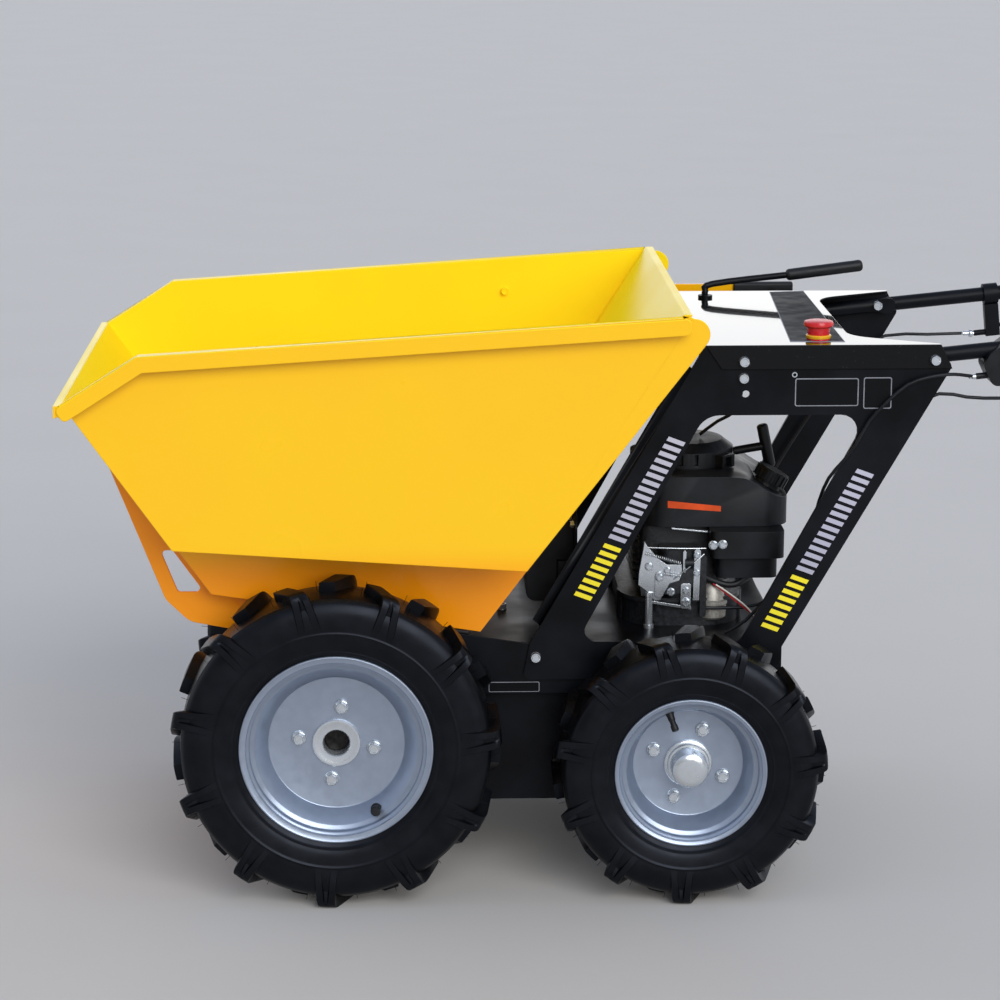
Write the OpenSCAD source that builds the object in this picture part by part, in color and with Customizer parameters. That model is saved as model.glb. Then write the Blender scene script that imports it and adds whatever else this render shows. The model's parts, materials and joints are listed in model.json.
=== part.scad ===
// Walk-behind site dumper: four driven wheels, a tub that tips forward and an open engine behind it.
// The frame has +X forward, +Y to the machine's left and +Z up, with the ground at Z = 0.
// Inside the modules X is measured from the front axle, and heights of the body from the tray floor.

/* [Layout] */
// Distance between the front and rear axles
wheelbase = 501; // [490:1:520]
// Width of the chassis over its side walls
chassis_w = 476; // [466:2:486]
// Height of the tray floor above the front axle
floor_over_axle = 47; // [42:1:52]

/* [Wheels] */
// Front tyre diameter over the lugs
front_tyre_d = 468; // [450:2:480]
// Front tyre width
front_tyre_w = 108; // [100:1:116]
// Front rim diameter at the bead seat
front_rim_d = 254; // [230:1:270]
// Rear tyre diameter over the lugs
rear_tyre_d = 390; // [370:2:410]
// Rear tyre width
rear_tyre_w = 104; // [98:1:112]
// Rear rim diameter at the bead seat
rear_rim_d = 203; // [180:1:220]
// Gap between the chassis wall and the front tyre
front_wheel_gap = 15; // [12:1:20]
// Gap between the chassis wall and the rear tyre
rear_wheel_gap = 18; // [12:1:22]
// Thickness of the rim's pressed sheet
rim_t = 3; // [2:0.5:4]
// Radius of the axle stubs
axle_r = 17; // [14:0.5:19]
// Number of lugs on each side of a tyre
lug_count = 11; // [9:1:13]
// Width of a lug
lug_w = 25; // [20:1:30]

/* [Tub] */
// Width of the tub over its rim
tub_w = 702; // [690:2:714]
// Width of the rim's outward flange
rim_flange_w = 18; // [12:1:24]
// Height of the rim's turned-down edge
rim_flange_h = 23; // [15:1:30]
// Thickness of the tub's sheet
tub_t = 3; // [2:0.5:4]
// Lip of the front wall, ahead of the front axle
lip_x = 372; // [350:1:390]
// Lip of the front wall, above the tray floor
lip_h = 447; // [430:1:460]
// Bend in the side rims, ahead of the front axle
bend_x = 266; // [240:1:290]
// Bend in the side rims, above the tray floor
bend_h = 515; // [500:1:530]
// Rear end of the side rims, behind the front axle
rim_rear_x = 492; // [480:1:500]
// Rear end of the side rims, above the tray floor
rim_rear_h = 564; // [550:1:575]
// Width of the belly between the wheels
belly_w = 470; // [450:2:474]

/* [Frame] */
// Thickness of the frame plates
plate_t = 6; // [4:0.5:8]
// Height of the deck above the tray floor
deck_h = 509; // [500:1:520]
// Thickness of the chassis walls
wall_t = 5; // [4:0.5:7]
// Radius of the hinge pin that carries the tub
pin_r = 10; // [8:0.5:12]

/* [Handles] */
// Outer radius of the handlebar tubes
tube_r = 11; // [9:0.5:13]
// Slope of the handlebars, rising to the rear
tube_slope = 5.7; // [3:0.1:8]
// Length of the handlebar grips
grip_l = 125; // [100:1:150]
// Outer radius of the handlebar grips
grip_r = 16; // [14:0.5:20]

/* [Hidden] */
$fn = 64;

// Sideways direction that no swept route runs along
sweep_side = [0.2, 1, 0.1];
// One overrun for all cuts
over = 1;
// Steps in an arc that is drawn as part of an outline
arc_steps = 16;
// Steps in each rounded corner of an outline
corner_steps = 6;
// Small gap between pieces of one body that only sit against each other
seat_gap = 0.2;
// Radial clearance where one body turns on another
run_gap = 0.05;

paint_yellow = "#FFC42B";
paint_black = "#1C1D1F";
rubber_black = "#202225";
rim_silver = "#B4B7BB";
zinc = "#9EA3A8";
alloy = "#A9ABA8";
plastic_black = "#17181A";
stop_red = "#D3262B";

// Heights and half-widths that follow from the driving sizes
front_axle_z = front_tyre_d / 2;
rear_axle_z = rear_tyre_d / 2;
floor_z = front_axle_z + floor_over_axle;
chassis_y = chassis_w / 2;
plate_y = chassis_y + plate_t;
deck_t = 3;
deck_edge_y = plate_y + deck_t;
tub_y = tub_w / 2 - rim_flange_w;
tub_in_y = tub_y - tub_t;
belly_y = belly_w / 2;
belly_in_y = belly_y - tub_t;
deck_z = floor_z + deck_h;

// Tub outline points: ledge over the wheels, belly corners and rear wall
ledge_front_x = 224.5;
ledge_front_h = 238;
ledge_rear_x = 268.5;
ledge_rear_h = 205;
belly_front_x = 178;
belly_front_h = 150;
belly_rear_x = 206;
belly_rear_h = 92;
belly_ahead = 16;
belly_behind = 22;
rear_wall_x = 484;
rear_foot_x = 178;
ear_r = 22;
ear_behind = 6;
lip_out = 9;
lip_down = 17;
rear_flange = 11;
// Rounding of the rolled rim's ends
roll_r = 8;

// Hinge of the tub, below the front of the belly
pivot_x = 115;
pivot_h = 111;
hinge_plate_y = 200;
hinge_boss_r = 16;
hinge_boss_l = 28;

// Chassis lengths
tray_rear_x = 640;
case_front_x = 70;
case_rear_x = 575;
case_drop = 163;
case_inset = 13;
belly_clear = 6;

// Hinge plate points: from the lip down its front edge, along its foot and up to the belly
nose_top_h = 433;
nose_front_x = 246;
nose_front_h = 134;
nose_mid_x = 212;
nose_mid_h = 101;
nose_rear_x = 85;
nose_rear_h = 77;
nose_r = 34;
nose_foot_r = 12;
slot_margin = 21;
slot_wall = 26;
slot_r = 6;
slot_top_h = 207;
slot_low_h = 145;

// Tip handle on the tub's right side
// Its place between the deck's edge and the tub's side
tip_share = 0.63855;
tip_y = deck_edge_y + tip_share * (tub_in_y - deck_edge_y);
tip_drop = 58;
tip_h = rim_rear_h - tip_drop;
tip_bar_h = 12;
tip_bar_t = 6;
tip_bar_end = 620;
tip_grip_h = 18;
tip_grip_w = 16;
tip_grip_r = 5;
tip_grip_l = 94;

// Chassis details
case_y = chassis_y - case_inset;
case_nose = 50;
tray_h = 76;
pin_head_r = 15;
pin_head_h = 7;
bearing_r = 36;
bearing_proud = 10;
rest_gap = 0.5;
rest_w = 16;
rest_front_x = 120;
rest_l = 70;
top_plate_x = 60;
bulkhead_y = 160;
bulk_x = 345;
bulk_high_h = 250;
bulk_t = 4;
bulk_foot = 34;
bulk_r = 30;

// Frame plate outline and window, as shares of its length and height
frame_front_x = 277;
frame_l = 595;
frame_foot_h = 23;
frame_top_h = deck_h - deck_t;
frame_h = frame_top_h - frame_foot_h;
frame_shares = [
    [-0.018, 0], [0, 0.112], [0.41, 1], [0.971, 1], [1, 0.94], [0.6, 0.077], [0.56, 0]
];
frame_corner_r = 9;
// Spare hole for setting the handlebars
spare_hole_r = 5.5;
spare_hole_x = 580.5;
spare_hole_drop = 70.5;
spare_hole_h = deck_h - spare_hole_drop;
window_shares = [[0.113, 0.116], [0.507, 0.11], [0.805, 0.798], [0.414, 0.798]];
window_radii = [16, 14, 24, 36];
// Flange bent forward and inward along the front leg, between two shares of the leg's edge
fold_w = 12;
fold_t = 3;
fold_shares = [0.06, 0.93];
deck_front_x = 522;
deck_rear_x = 736;
arm_root_y = 172;
arm_r = 60;
skirt_h = 35;
skirt_front_x = 546;
skirt_rear_x = 872;
arm_rear_x = 855;

// Handlebars, brackets, levers
handle_bolt_x = 850;
handle_drop = 19;
handle_bolt_h = deck_h - handle_drop;
handle_fore = 290;
handle_aft = 312;
tube_t = 1.5;
handle_y = chassis_y - tube_r - seat_gap;
bracket_t = 4;
bracket_y = handle_y - tube_r - seat_gap;
bracket_h = 24;
bracket_l = 28;
bracket_r = 9;
grip_end = 4;
box_from_bolt = 63;
box_w = 48;
box_l = 80;
box_tall = 72;
box_r = 12;
// Side view of the control housing: shares of its length along the tube and of its height
box_shares = [[0, -0.24], [0.15, -0.68], [1, -0.68], [1, 0.2], [0.62, 0.3], [0.14, -0.03]];
ferrule_r = 4.5;
ferrule_l = 18;
ferrule_drop = 34;
ferrule_side = 11;
lever_from_bolt = 154;
lever_clamp_l = 22;
lever_clamp_r = 16;
lever_w = 14;
lever_t = 5;
lever_l = 165;
lever_drop = 66;
// Side view of a hand lever: shares of its length and of its drop below the tube
lever_shares = [[0.04, -0.62], [0.16, -0.78], [0.4, -0.84], [0.72, -0.8], [1, -0.9]];
lever_steps = 4;
adjuster_drop = 60;
// The origin lies half way between the lip and the ends of the grips
handle_reach = handle_bolt_x + (handle_aft + grip_end) * cos(tube_slope) + grip_r * sin(tube_slope);
front_axle_x = (handle_reach - lip_x - lip_out) / 2;

// Shift lever, on the deck's right, and stop button, on its left
shift_r = 5;
shift_collar_r = 11;
shift_collar_h = 4;
shift_grip_r = 9;
shift_x = 564;
shift_y = 182;
shift_rise = 20;
shift_lean = 12;
shift_side = 8;
shift_run = 114;
shift_climb = 12;
shift_grip_l = 119;
shift_grip_climb = 15;
shift_foot = [-shift_x, -shift_y, deck_z];
shift_bend = shift_foot + [-shift_lean, -shift_side, shift_rise];
shift_knee = shift_bend + [-shift_run, -shift_side, shift_climb];
shift_end = shift_knee + [-shift_grip_l, 0, shift_grip_climb];
stop_x = 687;
stop_y = 202;
stop_r = 21;
stop_body_r = 18;
stop_body_h = 17;
stop_base_r = 15.5;
stop_base_h = 8;
stop_h = 28;
stop_round = 4;

// Engine with an upright shaft, standing on the tray's top plate
engine_h = tray_h;
sump_front_x = 417;
sump_rear_x = 590;
sump_y = 150;
sump_tall = 42;
sump_r = 55;
sump_flange = 6;
sump_boss_r = 10;
block_front_x = 445;
block_rear_x = 570;
block_y = 104;
block_r = 14;
fin_count = 7;
fin_out = 9;
fin_t = 3;
shroud_front_x = 443;
shroud_rear_x = 662;
shroud_y = 125;
shroud_low_h = 218;
shroud_top_h = 293;
shroud_tail_h = 258;
shroud_r = 38;
shroud_steps = 5;
// Top of the shroud from front to rear: shares of its length and of its fall to the tail
shroud_shares = [[0, 0], [0.3, 0], [0.62, 0.02], [0.74, 0.18], [0.84, 0.58], [0.92, 0.86], [1, 1]];
recoil_x = 518;
recoil_r = 72;
recoil_h = 35;
recoil_crown = 12;
recoil_crown_r = 56;
recoil_slots = 20;
recoil_slot_w = 6;
recoil_slot_h = 16;
recoil_slot_d = 7;
recoil_slot_low = 5;
recoil_boss = 28;
recoil_boss_in = 55;
recoil_boss_l = 30;
recoil_boss_h = 19;
recoil_boss_turn = 135;
recoil_boss_room = 26;
recoil_hole = 14;
recoil_hole_d = 10;
recoil_hole_low = 2;
pull_x = 638;
pull_y = 20;
pull_h = 318;
pull_l = 66;
pull_r = 8.5;
pull_lean = 12;
pull_stem_r = 5.5;
pull_stem_x = 588.8;
cap_y = 64;
cap_r = 26;
cap_h = 18;
cap_ribs = 16;
cap_rib = 2;
cap_neck_r = 20;
cap_neck_h = 7;
cap_sink = 14;
cap_tilt = 28;
cap_share = 0.872;
filter_front_x = 544;
filter_rear_x = 652;
filter_y = 158;
filter_mid_h = 178;
filter_low_h = 147;
filter_step = 9;
filter_r = 12;
carb_x = 500;
carb_y = 128;
carb_bowl_r = 24;
carb_bowl_h = 34;
carb_low_h = 108;
carb_body_w = 58;
carb_top_h = 190;
link_t = 3;
link_out = 8;
link_post_r = 4;
link_front_x = 441;
link_l = 84;
link_low_h = 124;
link_tall = 82;
// Governor plate: shares of its length and height
link_shares = [
    [0, 0.16], [0.02, 0], [0.24, 0.04], [0.62, 0.02], [1, 0.2],
    [1, 0.48], [0.6, 0.5], [0.3, 0.42], [0.09, 1], [0.05, 1]
];
arm_x = 533;
arm_w = 9;
arm_low_h = 92;
arm_tall = 92;
muffler_front_x = 452;
muffler_rear_x = 588;
muffler_y = 168;
muffler_low_h = 124;
muffler_high_h = 196;
muffler_r = 22;
muffler_pipe_r = 13;
muffler_pipe_l = 24;
switch_front_x = 276;
switch_low_h = 107;
switch_high_h = 229;
switch_y = 120;
switch_in_y = 30;
switch_r = 14;
rocker_x = 331;
rocker_h = 155;
rocker_w = 20;
rocker_tall = 28;
rocker_d = 3;

// Control cables: radius, and routes through points chosen by hand
cable_r = 2.5;
cable_sides = 8;
cable_steps = 2;
throttle_route = [
    [-905.5, 238, 742], [-884, 244, 746], [-864, 252, 748], [-836, 253, 744], [-808, 253, 734],
    [-781, 253, 711], [-755, 253, 682], [-737, 253, 648], [-720, 250, 624], [-702, 236, 596],
    [-692, 212, 556], [-680, 192, 490], [-656, 178, 424], [-612, 166, 392], [-570, 160, 386], [-538, 160, 386]
];
brake_foot_route = [
    [-560, 206, 361], [-590, 210, 380], [-640, 214, 440], [-700, 220, 540], [-760, 224, 632], [-812, 227, 692]
];
brake_left_route = concat(brake_foot_route, [
    [-857, 229, 716], [-897, 229, 711], [-945, 228, 709], [-972, 227, 717], [-990.9, 227, 725]
]);
brake_right_route = concat(brake_foot_route, [
    [-852, 228, 721], [-918, 227, 723], [-960, 227, 724], [-990.9, 227, 725]
]);
stop_route = [
    [-640, 150, 784], [-626, 120, 766], [-606, 70, 730], [-598, 40, 690], [-594, 22, 654], [-566, 10, 634],
    [-540, 5, 613]
];

// Wheel details, axial places from the tyre's middle plane
function rim_half(w) = w / 2 - rim_tuck;
rim_tuck = 9;
front_lip_h = 10;
rear_lip_h = 7;
front_dish = 38;
rear_dish = 50;
front_well_drop = 35;
rear_well_drop = 21;
seat_w = 12;
well_w = 10;
disc_t = 5;
hub_r = 34.5;
hub_in = -50;
hub_proud = 4;
hub_recess = 22;
cap_step = 14;
cap_out = 42;
cap_end_r = 26;
cap_round = 9;
cap_wall = 6;
front_wheel_y = chassis_y + front_wheel_gap + front_tyre_w / 2;
rear_wheel_y = chassis_y + rear_wheel_gap + rear_tyre_w / 2;
front_face = rim_half(front_tyre_w) - front_dish;
rear_face = rim_half(rear_tyre_w) - rear_dish;
// Tyre flank from rim to crown: shares of the half width and of the height above the bead seat
tyre_shares = [
    [0.8, 0.12], [0.9, 0.24], [0.93, 0.44], [0.9, 0.6], [0.78, 0.73], [0.52, 0.805], [0.2, 0.83]
];
tyre_steps = 2;
// Lug from its foot on the flank to the middle of the tread
// Shares of the lead, of the half width, of the height and of the lug width
lug_shares = [
    [0, 0.955, 0.42, 1.4], [0.06, 1, 0.7, 1.2], [0.18, 0.9, 0.97, 1.04], [0.6, 0.4, 1, 1], [1, -0.06, 1, 0.9]
];
lug_lead = 8;
lug_root_share = 0.6;
lug_core_share = 0.55;

function at(x, h) = [x, floor_z + h];
function meet(a, b, c, d) =
    let (r = b - a, s = d - c, w = c - a)
    a + r * (w.x * s.y - w.y * s.x) / (r.x * s.y - r.y * s.x);
function left_of(a, b, d) =
    let (u = (b - a) / norm(b - a), n = [-u.y, u.x] * d)
    [a + n, b + n];
function touch(p, c, r, s) =
    let (d = p - c, a = atan2(d.y, d.x) + s * acos(r / norm(d)))
    c + r * [cos(a), sin(a)];
function arc(c, r, a0, a1, steps) =
    [for (i = [0 : steps]) let (a = a0 + (a1 - a0) * i / steps) c + r * [cos(a), sin(a)]];
function bearing(c, p) = atan2(p.y - c.y, p.x - c.x);
// Outline with each corner rounded by an arc; a radius of zero keeps the corner
function corner(a, p, b, r) =
    let (u = unit(a - p), v = unit(b - p), half = acos(u * v) / 2, c = p + unit(u + v) * r / sin(half),
        from = bearing(c, p + u * r / tan(half)), turn = sign(v.x * u.y - v.y * u.x) * (180 - 2 * half))
    r == 0 ? [p] : arc(c, r, from, from + turn, corner_steps);
function rounded(points, r) = let (n = len(points)) [for (i = [0 : n - 1])
    each corner(points[(i + n - 1) % n], points[i], points[(i + 1) % n], is_list(r) ? r[i] : r)];
function plan(x0, x1, y0, y1) = [[-x0, y0], [-x0, y1], [-x1, y1], [-x1, y0]];
function rect(a, b) = [[-a, -b], [a, -b], [a, b], [-a, b]] / 2;
function face(x0, x1, h0, h1) = [at(-x0, h0), at(-x0, h1), at(-x1, h1), at(-x1, h0)];
function along(line, x) = meet(line[0], line[1], at(x, 0), at(x, deck_h));

// Lines of the tub's sheet: outer faces, then inner faces one sheet thickness inside
lip = at(lip_x, lip_h);
bend = at(bend_x, bend_h);
rim_rear = at(-rim_rear_x, rim_rear_h);
ledge_front = at(ledge_front_x, ledge_front_h);
ledge_rear = at(-ledge_rear_x, ledge_rear_h);
belly_front = at(belly_front_x, belly_front_h);
belly_rear = at(-belly_rear_x, belly_rear_h);
rear_top = at(-rear_wall_x, rim_rear_h);
rear_foot = at(-rear_foot_x, belly_rear_h);
front_in = left_of(ledge_front, lip, tub_t);
floor_in = left_of(belly_rear, belly_front, tub_t);
rear_in = left_of(rear_top, rear_foot, tub_t);
ledge_in = left_of(ledge_rear, ledge_front, tub_t);
front_foot_out = meet(lip, ledge_front, belly_rear, belly_front);
front_foot_in = meet(front_in[0], front_in[1], floor_in[0], floor_in[1]);
rear_foot_out = meet(rear_top, rear_foot, belly_rear, belly_front);
rear_foot_in = meet(rear_in[0], rear_in[1], floor_in[0], floor_in[1]);
rim_line = left_of(rim_rear, bend, -tub_t);
nose_line = left_of(bend, lip, -tub_t);
rim_low = left_of(rim_rear, bend, -rim_flange_h);
nose_low = left_of(bend, lip, -rim_flange_h);
pivot = at(pivot_x, pivot_h);
ear_centre = rim_rear - [ear_behind, ear_r + tub_t];

// Hinge plate, tray and rest lines, set off from the belly's floor
nose_top = meet(lip, ledge_front, at(0, nose_top_h), at(lip_x, nose_top_h));
nose_low_front = at(nose_front_x, nose_front_h);
nose_low_mid = at(nose_mid_x, nose_mid_h);
nose_low_rear = at(nose_rear_x, nose_rear_h);
nose_up_rear = along([belly_rear, belly_front], nose_rear_x);
tray_top = left_of(belly_rear, belly_front, -belly_clear);
tray_ear_r = abs(cross(tray_top[1] - tray_top[0], pivot - tray_top[0])) / norm(tray_top[1] - tray_top[0]);
ear_top = left_of(pivot, pivot + tray_top[1] - tray_top[0], tray_ear_r)[0];
rest_low = tray_top;
rest_top = left_of(belly_rear, belly_front, -rest_gap);

// Smooth curve through a route's points, and a tube swept along it
function spline_at(a, b, c, d, t) =
    (2 * b + (c - a) * t + (2 * a - 5 * b + 4 * c - d) * t * t + (3 * b - a - 3 * c + d) * t * t * t) / 2;
function smooth(route, steps) = let (last = len(route) - 1) concat(
    [for (i = [0 : last - 1], k = [0 : steps - 1])
        spline_at(route[max(i - 1, 0)], route[i], route[i + 1], route[min(i + 2, last)], k / steps)],
    [route[last]]
);
function unit(v) = v / norm(v);
module swept_tube(path, r, sides) {
    last = len(path) - 1;
    rings = [for (i = [0 : last]) let (
        ahead = unit(path[min(i + 1, last)] - path[max(i - 1, 0)]),
        out = unit(cross(ahead, sweep_side)), up = cross(out, ahead)
    ) each [for (k = [0 : sides - 1])
        path[i] + r * (out * cos(360 * k / sides) + up * sin(360 * k / sides))]];
    walls = [for (i = [0 : last - 1], k = [0 : sides - 1])
        let (a = i * sides + k, b = i * sides + (k + 1) % sides)
            each [[a, b, b + sides], [a, b + sides, a + sides]]];
    ends = [[for (k = [sides - 1 : -1 : 0]) k], [for (k = [0 : sides - 1]) last * sides + k]];
    polyhedron(rings, concat(walls, ends));
}

module from_axle() translate([front_axle_x, 0, 0]) children();
// Plate in the XZ plane between two Y values
module slab(y0, y1) translate([0, y1, 0]) rotate([90, 0, 0]) linear_extrude(y1 - y0) children();
module mirror_side(side) mirror([0, side < 0 ? 1 : 0, 0]) children();
module cross_bar(p, r, y0, y1) translate([p.x, y0, p.y]) rotate([-90, 0, 0]) cylinder(r = r, h = y1 - y0);

// Tub
module tub_side_outline() {
    ear_end = bearing(ear_centre, touch(ledge_rear, ear_centre, ear_r, -1));
    polygon(concat(
        [lip, ledge_front, ledge_rear], arc(ear_centre, ear_r, ear_end + 360, 90, arc_steps), [rim_rear, bend]
    ));
}
module tub_side() {
    slab(tub_in_y, tub_y) tub_side_outline();
    bend_in = meet(rim_line[0], rim_line[1], nose_line[0], nose_line[1]);
    bend_low = meet(rim_low[0], rim_low[1], nose_low[0], nose_low[1]);
    ahead = lip_out * unit(lip - bend);
    back = (roll_r + tub_t) * unit(bend - rim_rear);
    slab(tub_y, tub_w / 2 - tub_t)
        polygon([rim_rear + back, rim_line[0] + back, bend_in, nose_line[1], lip, bend]);
    slab(tub_w / 2 - tub_t, tub_w / 2) polygon(rounded(
        [rim_rear, rim_low[0], bend_low, nose_low[1] + ahead, lip + ahead, bend],
        [roll_r, roll_r, 0, roll_r, roll_r, 0]
    ));
}
module tub_side_left() color(paint_yellow) from_axle() tub_side();
module tub_side_right() color(paint_yellow) from_axle() mirror_side(-1) tub_side();

module tub_front() color(paint_yellow) from_axle() {
    ledge_at_out = meet(lip, ledge_front, ledge_in[0], ledge_in[1]);
    ledge_at_in = meet(front_in[0], front_in[1], ledge_in[0], ledge_in[1]);
    slab(-tub_in_y, tub_in_y) polygon([lip, front_in[1], ledge_at_in, ledge_at_out]);
    slab(-belly_in_y, belly_in_y) polygon([ledge_at_out, ledge_at_in, front_foot_in, front_foot_out]);
    hook = [
        lip, lip + [lip_out, 0], lip + [lip_out, -lip_down],
        lip + [lip_out - tub_t, -lip_down], lip + [lip_out - tub_t, -tub_t]
    ];
    slab(-tub_in_y, tub_in_y) polygon(concat(hook, [front_in[1] - [0, tub_t]]));
    for (side = [-1, 1]) mirror_side(side)
        slab(tub_in_y, tub_w / 2 - tub_t) polygon(concat(hook, [nose_line[1]]));
}

module tub_rear() color(paint_yellow) from_axle() {
    ledge_at_out = meet(rear_top, rear_foot, ledge_in[0], ledge_in[1]);
    ledge_at_in = meet(rear_in[0], rear_in[1], ledge_in[0], ledge_in[1]);
    slab(-tub_in_y, tub_in_y) polygon([rear_top, ledge_at_out, ledge_at_in, rear_in[0]]);
    slab(-tub_y, tub_y) polygon([
        rear_in[0], rear_top + [0, tub_t],
        rear_top + [-rear_flange, tub_t], rear_top + [-rear_flange, 0], rear_top
    ]);
    slab(-belly_in_y, belly_in_y) polygon([ledge_at_out, rear_foot_out, rear_foot_in, ledge_at_in]);
}

module tub_floor() color(paint_yellow) from_axle()
    slab(-belly_in_y, belly_in_y) polygon([front_foot_out, front_foot_in, rear_foot_in, rear_foot_out]);

module belly_side() {
    ledge_fore = meet(lip, ledge_front, ledge_rear, ledge_front);
    ledge_aft = meet(rear_top, rear_foot, ledge_rear, ledge_front);
    ledge_fore_in = meet(lip, ledge_front, ledge_in[0], ledge_in[1]);
    ledge_aft_in = meet(rear_top, rear_foot, ledge_in[0], ledge_in[1]);
    slab(belly_in_y, belly_y)
        polygon([ledge_front + [belly_ahead, 0], belly_front, belly_rear, ledge_rear - [belly_behind, 0]]);
    slab(belly_in_y, tub_in_y) polygon([ledge_fore, ledge_aft, ledge_aft_in, ledge_fore_in]);
}
module belly_side_left() color(paint_yellow) from_axle() belly_side();
module belly_side_right() color(paint_yellow) from_axle() mirror_side(-1) belly_side();

// Hinge plates under the tub's nose
module hinge_plate_outline() {
    front_edge = left_of(nose_low_front, nose_top, slot_margin);
    wall_edge = left_of(lip, ledge_front, slot_wall);
    slot_top = [at(0, slot_top_h), at(lip_x, slot_top_h)];
    slot_low = [at(0, slot_low_h), at(lip_x, slot_low_h)];
    difference() {
        polygon(rounded(
            [nose_top, nose_low_front, nose_low_mid, nose_low_rear, nose_up_rear, front_foot_out],
            [0, nose_r, nose_r, nose_foot_r, 0, 0]
        ));
        polygon(rounded([
            meet(front_edge[0], front_edge[1], slot_top[0], slot_top[1]),
            meet(front_edge[0], front_edge[1], slot_low[0], slot_low[1]),
            meet(wall_edge[0], wall_edge[1], slot_low[0], slot_low[1]),
            meet(wall_edge[0], wall_edge[1], slot_top[0], slot_top[1])
        ], slot_r));
        translate(pivot) circle(r = pin_r + run_gap);
    }
}
module hinge_plates() color(paint_yellow) from_axle()
    for (side = [-1, 1]) mirror_side(side) {
        slab(hinge_plate_y - plate_t, hinge_plate_y) hinge_plate_outline();
        difference() {
            cross_bar(pivot, hinge_boss_r, hinge_plate_y, hinge_plate_y + hinge_boss_l);
            cross_bar(pivot, pin_r + run_gap, hinge_plate_y - over, hinge_plate_y + hinge_boss_l + over);
        }
    }

// Bar and grip for lifting the tub, on its right side
module tip_handle() color(paint_yellow) from_axle() {
    wall_low = meet(rear_top, rear_foot, at(0, tip_h - tip_bar_h / 2), at(lip_x, tip_h - tip_bar_h / 2));
    wall_high = meet(rear_top, rear_foot, at(0, tip_h + tip_bar_h / 2), at(lip_x, tip_h + tip_bar_h / 2));
    slab(-tip_y - tip_bar_t / 2, -tip_y + tip_bar_t / 2) polygon([
        wall_high, at(-tip_bar_end, tip_h + tip_bar_h / 2), at(-tip_bar_end, tip_h - tip_bar_h / 2), wall_low
    ]);
}
module tip_grip() color(rubber_black) from_axle()
    translate([-tip_bar_end, -tip_y, floor_z + tip_h]) rotate([0, -90, 0])
        linear_extrude(tip_grip_l) polygon(rounded(rect(tip_grip_h, tip_grip_w), tip_grip_r));

// Chassis
module tray_wall_outline() difference() {
    ear_low = bearing(pivot, touch(at(case_front_x, 0), pivot, tray_ear_r, 1));
    polygon(concat(
        [meet(tray_top[0], tray_top[1], at(0, tray_h), at(lip_x, tray_h)), at(-tray_rear_x, tray_h)],
        [at(-tray_rear_x, 0), at(case_front_x, 0)],
        arc(pivot, tray_ear_r, ear_low, bearing(pivot, ear_top), arc_steps)
    ));
    translate(pivot) circle(r = pin_r + run_gap);
}
module tray() color(paint_black) from_axle() {
    for (side = [-1, 1]) mirror_side(side) slab(chassis_y - wall_t, chassis_y) tray_wall_outline();
    slab(-chassis_y, chassis_y) polygon(face(-case_front_x, tray_rear_x, 0, wall_t));
    slab(wall_t - chassis_y, chassis_y - wall_t)
        polygon(face(top_plate_x, tray_rear_x, tray_h - wall_t, tray_h));
}
module drive_case() color(paint_black) from_axle()
    slab(-case_y, case_y) polygon([
        at(case_front_x, 0), at(case_front_x, case_nose - case_drop),
        at(case_front_x - case_nose, -case_drop),
        at(case_nose - case_rear_x, -case_drop), at(-case_rear_x, case_nose - case_drop), at(-case_rear_x, 0)
    ]);
module hinge_pin() color(zinc) from_axle() {
    cross_bar(pivot, pin_r, -chassis_y, chassis_y);
    for (side = [-1, 1]) mirror_side(side) cross_bar(pivot, pin_head_r, chassis_y, chassis_y + pin_head_h);
}
module axle_stubs(p, y_end) for (side = [-1, 1]) mirror_side(side) {
    cross_bar(p, bearing_r, case_y, chassis_y + bearing_proud);
    cross_bar(p, axle_r, case_y, y_end);
}
module front_axle() color(zinc) from_axle()
    axle_stubs([0, front_axle_z], front_wheel_y + front_face + hub_proud - hub_recess);
module rear_axle() color(zinc) from_axle()
    axle_stubs([-wheelbase, rear_axle_z], rear_wheel_y + rear_face + cap_out - cap_wall - hub_proud);
module tub_rest() color(rubber_black) from_axle()
    for (side = [-1, 1]) mirror_side(side) slab(chassis_y - rest_w, chassis_y) polygon([
        along(rest_low, -rest_front_x), along(rest_top, -rest_front_x),
        along(rest_top, -rest_front_x - rest_l), along(rest_low, -rest_front_x - rest_l)
    ]);
module bulkhead() color(paint_black) from_axle() {
    low = floor_z + engine_h;
    high = floor_z + bulk_high_h;
    translate([-bulk_x, 0, 0]) rotate([90, 0, -90]) linear_extrude(bulk_t) polygon(rounded(
        [[-bulkhead_y, low], [bulkhead_y, low], [bulkhead_y, high], [-bulkhead_y, high]],
        [0, 0, bulk_r, bulk_r]
    ));
    slab(-bulkhead_y, bulkhead_y) polygon(face(bulk_x - bulk_foot, bulk_x, engine_h, engine_h + bulk_t));
}

// Side frame plates and deck
function on_frame(shares) =
    [for (s = shares) at(-frame_front_x - s.x * frame_l, frame_foot_h + s.y * frame_h)];
module frame_plate() {
    outline = on_frame(frame_shares);
    edge = outline[2] - outline[1];
    foot = outline[1] + fold_shares[0] * edge;
    bevel = fold_t * sqrt(2);
    slab(chassis_y, plate_y) difference() {
        polygon(rounded(outline, frame_corner_r));
        polygon(rounded(on_frame(window_shares), window_radii));
        translate(at(-spare_hole_x, spare_hole_h)) circle(r = spare_hole_r);
    }
    translate([foot.x, 0, foot.y]) rotate([0, atan2(edge.x, edge.y), 0])
        linear_extrude((fold_shares[1] - fold_shares[0]) * norm(edge)) polygon([
            [-fold_t, plate_y], [0, plate_y], [fold_w, plate_y - fold_w], [fold_w, plate_y - fold_w - bevel],
            [0, plate_y - bevel], [-fold_t, plate_y - bevel]
        ]);
}
module frame_plate_left() color(paint_black) from_axle() frame_plate();
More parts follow.
